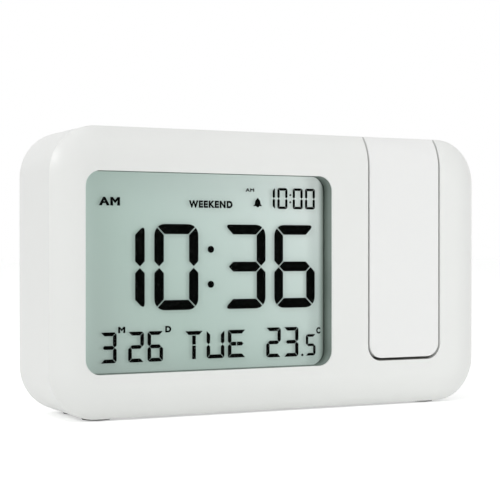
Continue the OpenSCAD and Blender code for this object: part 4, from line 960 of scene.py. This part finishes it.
# %% Spun pieces
def spun(name, axis, centre, section, steps=64):
    """A closed section of (radius, height) points spun round an axis through a centre."""
    bpy.ops.mesh.primitive_circle_add(vertices=len(section), radius=1 * MM, fill_type="NOTHING")
    piece = settle(name)
    middle_at = list(centre)
    middle_at.insert(axis, 0.0)
    out = 1 if axis == 0 else 0
    for vertex, (radius, height) in zip(piece.data.vertices, section):
        place = list(middle_at)
        place[out] += radius
        place[axis] = height
        vertex.co = Vector(place) * MM
    pick(piece, "EDGE", lambda e: all(abs(v.co[out] - middle_at[out] * MM) < 1e-8 for v in e.verts))
    bpy.ops.mesh.delete(type="EDGE")
    bpy.ops.mesh.select_all(action="SELECT")
    bpy.ops.mesh.spin(steps=steps, angle=math.tau, center=[c * MM for c in middle_at],
                      axis=[float(i == axis) for i in range(3)])
    bpy.ops.mesh.select_all(action="SELECT")
    bpy.ops.mesh.remove_doubles(threshold=0.002 * MM)
    outwards()
    return piece


def rounded(points, radius):
    """The section with its corners rounded, apart from those on the axis."""
    result = []
    for i, point in enumerate(points):
        here = Vector(point)
        before, after = Vector(points[i - 1]) - here, Vector(points[(i + 1) % len(points)]) - here
        reach = min(radius, before.length / 2.2, after.length / 2.2)
        if here.x < 1e-6 or reach < 1e-4:
            result.append(point)
            continue
        a, b = here + before.normalized() * reach, here + after.normalized() * reach
        for t in [s / 3 for s in range(4)]:
            curve = a * (1 - t) ** 2 + here * 2 * t * (1 - t) + b * t ** 2
            result.append((curve.x, curve.y))
    return result


BARREL_Z, RING_Z = 17.6, (24.0, 28.5)

# %% Bezel, barrel and lens
bezel = spun("lens_surround", 2, OPTICS,
             rounded([(4.8, TIP_Z), (5.3, TIP_Z), (5.7, TIP_Z + 0.1), (5.7, TIP_Z + 1.2),
                      (4.8, TIP_Z + 1.2)], 0.12))
dress(bezel, "projector_arm", "lens_bezel")

barrel_top = BARREL_Z + 13
# Two fine steps inside the mouth stop stray light, as in any lens barrel
barrel = spun("focusing_barrel", 2, OPTICS,
              rounded([(3.1, BARREL_Z), (3.3, BARREL_Z), (3.45, BARREL_Z), (4.4, BARREL_Z),
                       (4.4, barrel_top), (3.6, barrel_top), (3.6, BARREL_Z + 0.5),
                       (3.1, BARREL_Z + 0.5)], 0.1))
dress(barrel, "lens_barrel", "lens_barrel")

LENS_Z, LENS_R, MOUTH_R, CAP, RIM = BARREL_Z + 0.5, 3.56, 3.6, 1.2, 1.2
ball = (MOUTH_R ** 2 + CAP ** 2) / (2 * CAP)
rise = math.degrees(math.asin((ball - CAP) / ball))
dome = arc((0, LENS_Z + RIM + CAP - ball), ball, rise, 90, 12)
lens_section = [(0, LENS_Z + 0.02), (LENS_R, LENS_Z + 0.02), (LENS_R, LENS_Z + RIM)]
lens_section += [(min(r, LENS_R), z) for r, z in dome[1:-1]] + [(0, LENS_Z + RIM + CAP)]
lens = spun("wall_picture_lens", 2, OPTICS, lens_section)
dress(lens, "lens_barrel", "projection_lens", angle=40)

# %% Focus ring with its grooves
RING_STEPS, GROOVE_DEPTH = 4 * 28, 0.28
low, high = RING_Z
ring = spun("grooved_focus_ring", 2, OPTICS, [(4.45, low), (6.75, low), (7.0, low + 0.25), (
    7.0, high - 0.25), (6.75, high), (4.45, high)], RING_STEPS)


def groove_face(face):
    """Every fourth face of the rim's straight part."""
    spot = face.calc_center_median() / MM
    across = Vector((spot.x - ARM_MID, spot.y - AXIS_Y))
    turn = math.atan2(across.y, across.x) % math.tau
    return across.length > 6.9 and int(turn / (math.tau / RING_STEPS)) % 4 == 0


sunk = pick(ring, "FACE", groove_face)
bpy.ops.transform.shrink_fatten(value=-GROOVE_DEPTH * MM)
leave()
print(sunk, "grooves sunk")
dress(ring, "focus_ring", "focus_ring", angle=25)

# %% [markdown]
# ## Door, bar, keys and knob
#
# The controls are the pieces that a hand meets. Their edges are rounder than the case's, each key
# has a shallow dish that a fingertip finds, and the bar has a dished top. The door has four
# grooves for the thumb and two pins that it swings on. The knob has three grooves across its
# travel.

# %% Battery door
door = block("battery_bay_door", DOOR_X, (15.6, BACK_Y), (PIVOT_Z, DOOR_Z[1]))
fuse(door, rod("hinge", 0, PIVOT, 1.1, *DOOR_X),
     rod("pins", 0, PIVOT, 0.7, DOOR_X[0] - 1.6, DOOR_X[1] + 1.6, 32))
GRIP_X, GRIP_Y = (-47.25, -33.25), (BACK_Y - 0.4, BEHIND_Y)
for drop in (3.0, 4.6, 6.2, 7.8):
    top = DOOR_Z[1] - drop
    cut(door, block("groove", GRIP_X, GRIP_Y, (top - 0.8, top)))
found = soften(door, 0.2, lambda p: p.y > BACK_Y - 0.01 or p.z > DOOR_Z[1] - 0.01)
print(found, "door edges rounded")
dress(door, "battery_door", "battery_door")

# %% Snooze bar
BAR_X, BAR_Y = (-52, -8), (-5, 6)
bar = slab("snooze_bar_cap", BAR_X, BAR_Y, (84.8, TOP_Z), 4.5, axis=2)
pick(bar, "FACE", lambda f: f.normal.z > 0.9)
bpy.ops.mesh.inset(thickness=0.9 * MM)
for inset, sink in ((0.5, -0.05), (0.6, -0.12), (0.7, -0.1), (0.8, -0.05)):
    bpy.ops.mesh.inset(thickness=inset * MM, depth=sink * MM)
leave()
bevel(bar, lambda e: sharp(e, 60) and middle(e).z > TOP_Z - 0.01, 0.45, 4)
fuse(bar, slab("flange", (-53.2, -6.8), (-6.2, 7.2), (84.8, 86.0), 5.5, axis=2),
     rod("stem", 2, (-30, -2), 1.6, 79.65, 85.0, 32))
dress(bar, "snooze_bar", "snooze_bar", angle=25)

# %% Six keys
KEY_R, FLANGE_R, KEY_Y = 3.6, 4.6, 14.7
edge_arc = arc((KEY_R - 0.5, BACK_Y - 0.5), 0.5, 0, 90, 5)
dish = [(2.6, BACK_Y - 0.02), (2.1, BACK_Y - 0.1), (1.4, BACK_Y - 0.2), (0.7, BACK_Y - 0.25)]
key_section = [(0, KEY_Y), (FLANGE_R, KEY_Y), (FLANGE_R, KEY_Y + 0.7), (KEY_R, KEY_Y + 0.7)]
key_section += edge_arc + dish + [(0, BACK_Y - 0.26)]
places = [(x, z) for z in reversed(KEY_Z) for x in KEY_X]
for role, at in zip(("mode", "set", "alarm", "down", "up", "projection"), places):
    key = f"{role}_key"
    dress(spun(f"{key}_cap", 1, at, key_section, 48), key, key, angle=40)

# %% Slide knob
knob = block("switch_knob", (38.5, 43.5), (14.3, BACK_Y), (57, 61))
for x in (39.5, 40.7, 41.9):
    cut(knob, block("valley", (x - 0.05, x + 0.65), (BACK_Y - 0.5, BEHIND_Y), (56, 62)))
fuse(knob, block("stem", (40, 42), (12.4, 14.4), (58, 60)))
soften(knob, 0.15, lambda p: p.y > BACK_Y - 0.6 or abs(p.z - 59) > 1.9 and p.y > 14.5)
dress(knob, "slide_knob", "slide_switch_knob")

# %% [markdown]
# ## Inlet, feet, screws and cells
#
# These are bought parts. The inlet is a black block with a round collar and a pin in its bore. The
# feet are rubber discs with a groove round their sole. The screws have a domed head with a cross
# recess, cut by two tapered blades. Each cell is a sleeve shrunk over a steel can, whose rims curl
# over both ends and leave the metal bare.

# %% Supply inlet
inlet = slab("supply_inlet", (53.5, 62.5), (4.5, 15.4), (9.5, 20.5), 0.4, steps=3)
collar = spun("collar", 1, JACK, rounded([(0, 12), (4.0, 12), (4.0, 17.0), (0, 17.0)], 0.25))
fuse(inlet, collar)
cut(inlet, spun("bore", 1, JACK, [(0, 5.7), (2.8, 5.7), (2.8, 16.8), (3.1, 17.1), (0, 17.1)]))
pin = spun("pin", 1, JACK, rounded([(0, 5.0), (0.65, 5.0), (0.65, 15.3), (0, 15.3)], 0.3))
dress(inlet, "case", "dc_jack")
pin.name = pin.data.name = "inlet_centre_pin"
dress(pin, "case", slot="tinned_metal")

# %% Rubber feet
foot_section = rounded([(0, 0), (3.1, 0), (3.1, 0.3), (3.6, 0.3), (3.6, 0), (4.5, 0), (4.5, 1.2),
                        (0, 1.2)], 0.18)
feet = [spun("foot", 2, (x, y), foot_section) for x in (-58, 58) for y in (-7, 10)]
dress(joined("rubber_foot_discs", feet), "case", "rubber_feet")


# %% Screws
def cross_screw(at, seat, head_radius, head_height, radius, length):
    """A screw along Y with a domed head and a cross recess; its head sits on the seat."""
    tip, core, pitch = seat - length, radius * 0.78, 0.8
    section = [(0, tip), (radius * 0.4, tip + 0.3)]
    for i in range(int((length - 2 * pitch) / pitch)):
        low = tip + pitch + i * pitch
        section += [(core, low), (radius, low + pitch / 2)]
    section += [(core, seat - 0.6), (core, seat), (head_radius, seat)]
    section += [(head_radius * wide, seat + head_height * high)
                for wide, high in ((1, 0.35), (0.82, 0.8), (0.5, 0.97), (0, 1))]
    piece = spun("screw", 1, at, section, 24)
    top = seat + head_height + 0.1
    for wide, high in ((0.62, 0.11), (0.11, 0.62)):
        x, z = wide * head_radius, high * head_radius
        blade = block("blade", (at[0] - x, at[0] + x), (top - 0.8, top), (at[1] - z, at[1] + z))
        pick(blade, "FACE", lambda f: f.normal.y < -0.9)
        bpy.ops.transform.resize(value=(0.6 if wide > high else 1, 1, 0.6 if high > wide else 1))
        leave()
        cut(piece, blade)
    return piece


def copies(name, first, places):
    """The first piece and a copy with its own mesh at each further place, joined."""
    pieces = [first]
    for x, z in places[1:]:
        only(first)
        bpy.ops.object.duplicate()
        twin = bpy.context.object
        twin.location = ((x - places[0][0]) * MM, 0, (z - places[0][1]) * MM)
        pieces.append(settle(name))
    return joined(name, pieces)


screw = cross_screw(case_screws[0], 5.5, 2.0, 1.6, 1.15, 11)
dress(copies("case_cross_screws", screw, case_screws), "case", "housing_screws")
screw = cross_screw(arm_posts[0], -4.1, 1.6, 1.2, 0.8, 9)
dress(copies("arm_cross_screws", screw, arm_posts), "projector_arm", "arm_screws")

# %% Cells
CELL_Y, CELL_Z, CELL_R = 9.85, (23.65, 34.55), 5.05
bay_mid = (BAY_X[0] + BAY_X[1]) / 2
sleeve_section = rounded([
    (4.1, -62.5), (CELL_R, -62.45), (CELL_R, -19.25), (4.0, -19.2), (4.0, -19.6),
    (CELL_R - 0.3, -19.7), (CELL_R - 0.3, -62.0), (4.1, -62.2)], 0.3)
can_section = rounded([
    (0, -62.4), (4.3, -62.4), (4.6, -62.1), (4.6, -19.8), (2.6, -19.6), (2.4, -19.15),
    (1.9, -19.15), (1.9, -18.0), (0, -18.0)], 0.25)


def pair(name, section):
    """A part of both cells, whose buttons are at the right below and at the left above."""
    lower = spun(name, 0, (CELL_Y, CELL_Z[0]), section)
    flipped = [(r, 2 * bay_mid - x) for r, x in section]
    return joined(name, [lower, spun(name, 0, (CELL_Y, CELL_Z[1]), flipped)])


dress(pair("cell_sleeves", sleeve_section), "case", "battery_cells", angle=35)
dress(pair("cell_steel_cans", can_section), "case", slot="steel", angle=35)


# %% Contacts: a plate with a coil spring behind each flat end and a bent leaf at each button
def coil(name, x_wall, x_cell, z):
    """A conical compression spring wound from wire, along X."""
    turns, points, wire = 3.5, 84, 0.28
    path = bpy.data.curves.new(name, "CURVE")
    path.dimensions, path.bevel_depth, path.bevel_resolution = "3D", wire * MM, 3
    line = path.splines.new("POLY")
    line.points.add(points - 1)
    for i, point in enumerate(line.points):
        share = i / (points - 1)
        turn, radius = share * turns * math.tau, 2.9 - 1.2 * share
        spot = (x_wall + (x_cell - x_wall) * share, CELL_Y + radius * math.cos(turn),
                z + radius * math.sin(turn))
        point.co = (*[c * MM for c in spot], 1)
    path.use_fill_caps = True
    piece = bpy.data.objects.new(name, path)
    scene.collection.objects.link(piece)
    only(piece)
    bpy.ops.object.convert(target="MESH")
    return settle(name)


# The leaf's outline, as distances from the wall and from the cell's middle
outer, inner = [(0.35, -3.2), (1.5, -1.9), (2.38, -0.3)], [(0.35, -2.7), (1.2, -1.7), (2.0, -0.2)]
leaf = outer + [(x, -y) for x, y in outer[::-1] + inner] + inner[::-1]
contacts = []
for z, side in ((CELL_Z[0], 1), (CELL_Z[1], -1)):
    # The flat end of the lower cell is at the left, that of the upper one at the right
    flat_x = bay_mid - side * (BAY_X[1] - BAY_X[0]) / 2
    button_x = 2 * bay_mid - flat_x
    for x, inward in ((flat_x, side), (button_x, -side)):
        limits = sorted((x + inward * 0.02, x + inward * 0.4))
        contacts.append(slab("plate", limits, (CELL_Y - 3.9, CELL_Y + 3.9), (z - 4.3, z + 4.3), 0.8,
                             axis=0, steps=3))
    contacts.append(coil("coil", flat_x + side * 0.6, flat_x + side * 2.12, z))
    contacts.append(drawn("leaf", 2, z - 2.4, z + 2.4,
                          [(button_x - side * x, CELL_Y + y) for x, y in leaf]))
dress(joined("springs_and_leaf_contacts", contacts), "case", "battery_contacts")

# %% [markdown]
# ## The room
#
# The floor is a wide pale table top that the camera sees almost edge on. To the camera and to
# shiny or clear surfaces it looks white, by a little light of its own, while it still darkens
# where the clock shades it. The sky is white in the same way.

# %% Floor and sky
def seen_directly(owner):
    """A value that is one for camera, glossy and transmission rays."""
    rays = add(owner, "LightPath").outputs
    seen = rays["Is Camera Ray"]
    for ray in ("Is Glossy Ray", "Is Transmission Ray"):
        seen = maths(owner, "MAXIMUM", seen, rays[ray])
    return seen


SKY, FLOOR_LIFT = 0.5, 0.46
bpy.ops.mesh.primitive_plane_add(size=12, location=(0, 0, 0))
floor = bpy.context.object
floor.name = "floor"
material, place = begin("white_table_laminate", "#f4f5f4", 0.7, Emission_Color=(1, 1, 1, 1))
attach(material, Base_Color=mixed(material, noise(material, place, 40, 3.0), "#f5f6f5", "#f1f2f1"),
       Emission_Strength=maths(material, "MULTIPLY", seen_directly(material), FLOOR_LIFT))
floor.data.materials.append(material)

world = bpy.data.worlds.new("white_room")
scene.world = world
world.use_nodes = True
sky = world.node_tree.nodes["Background"]
sky.inputs["Color"].default_value = (1, 1, 1, 1)
world.node_tree.links.new(spread(world, seen_directly(world), SKY, 1.0), sky.inputs["Strength"])

# %% Lamps
def lamp(name, place, target, size, watts):
    data = bpy.data.lights.new(name, "AREA")
    data.shape, data.size, data.energy = "DISK", size, watts
    item = bpy.data.objects.new(name, data)
    scene.collection.objects.link(item)
    item.location = place
    item.rotation_euler = (Vector(target) - Vector(place)).to_track_quat("-Z", "Y").to_euler()
    return item


centre = (0, 0, 0.045)
lamp("left_softbox", (-1.35, -0.68, 0.8), centre, 0.65, 7.7)
lamp("top_softbox", (-0.3, -0.1, 1.3), centre, 1.0, 2.5)
fill = lamp("low_right_fill", (0.2, -0.38, 0.03), centre, 0.12, 0.5)
# It stands where the display mirrors the room, so it lights surfaces but isn't mirrored
fill.visible_glossy = False
print("room lit: sky", SKY)
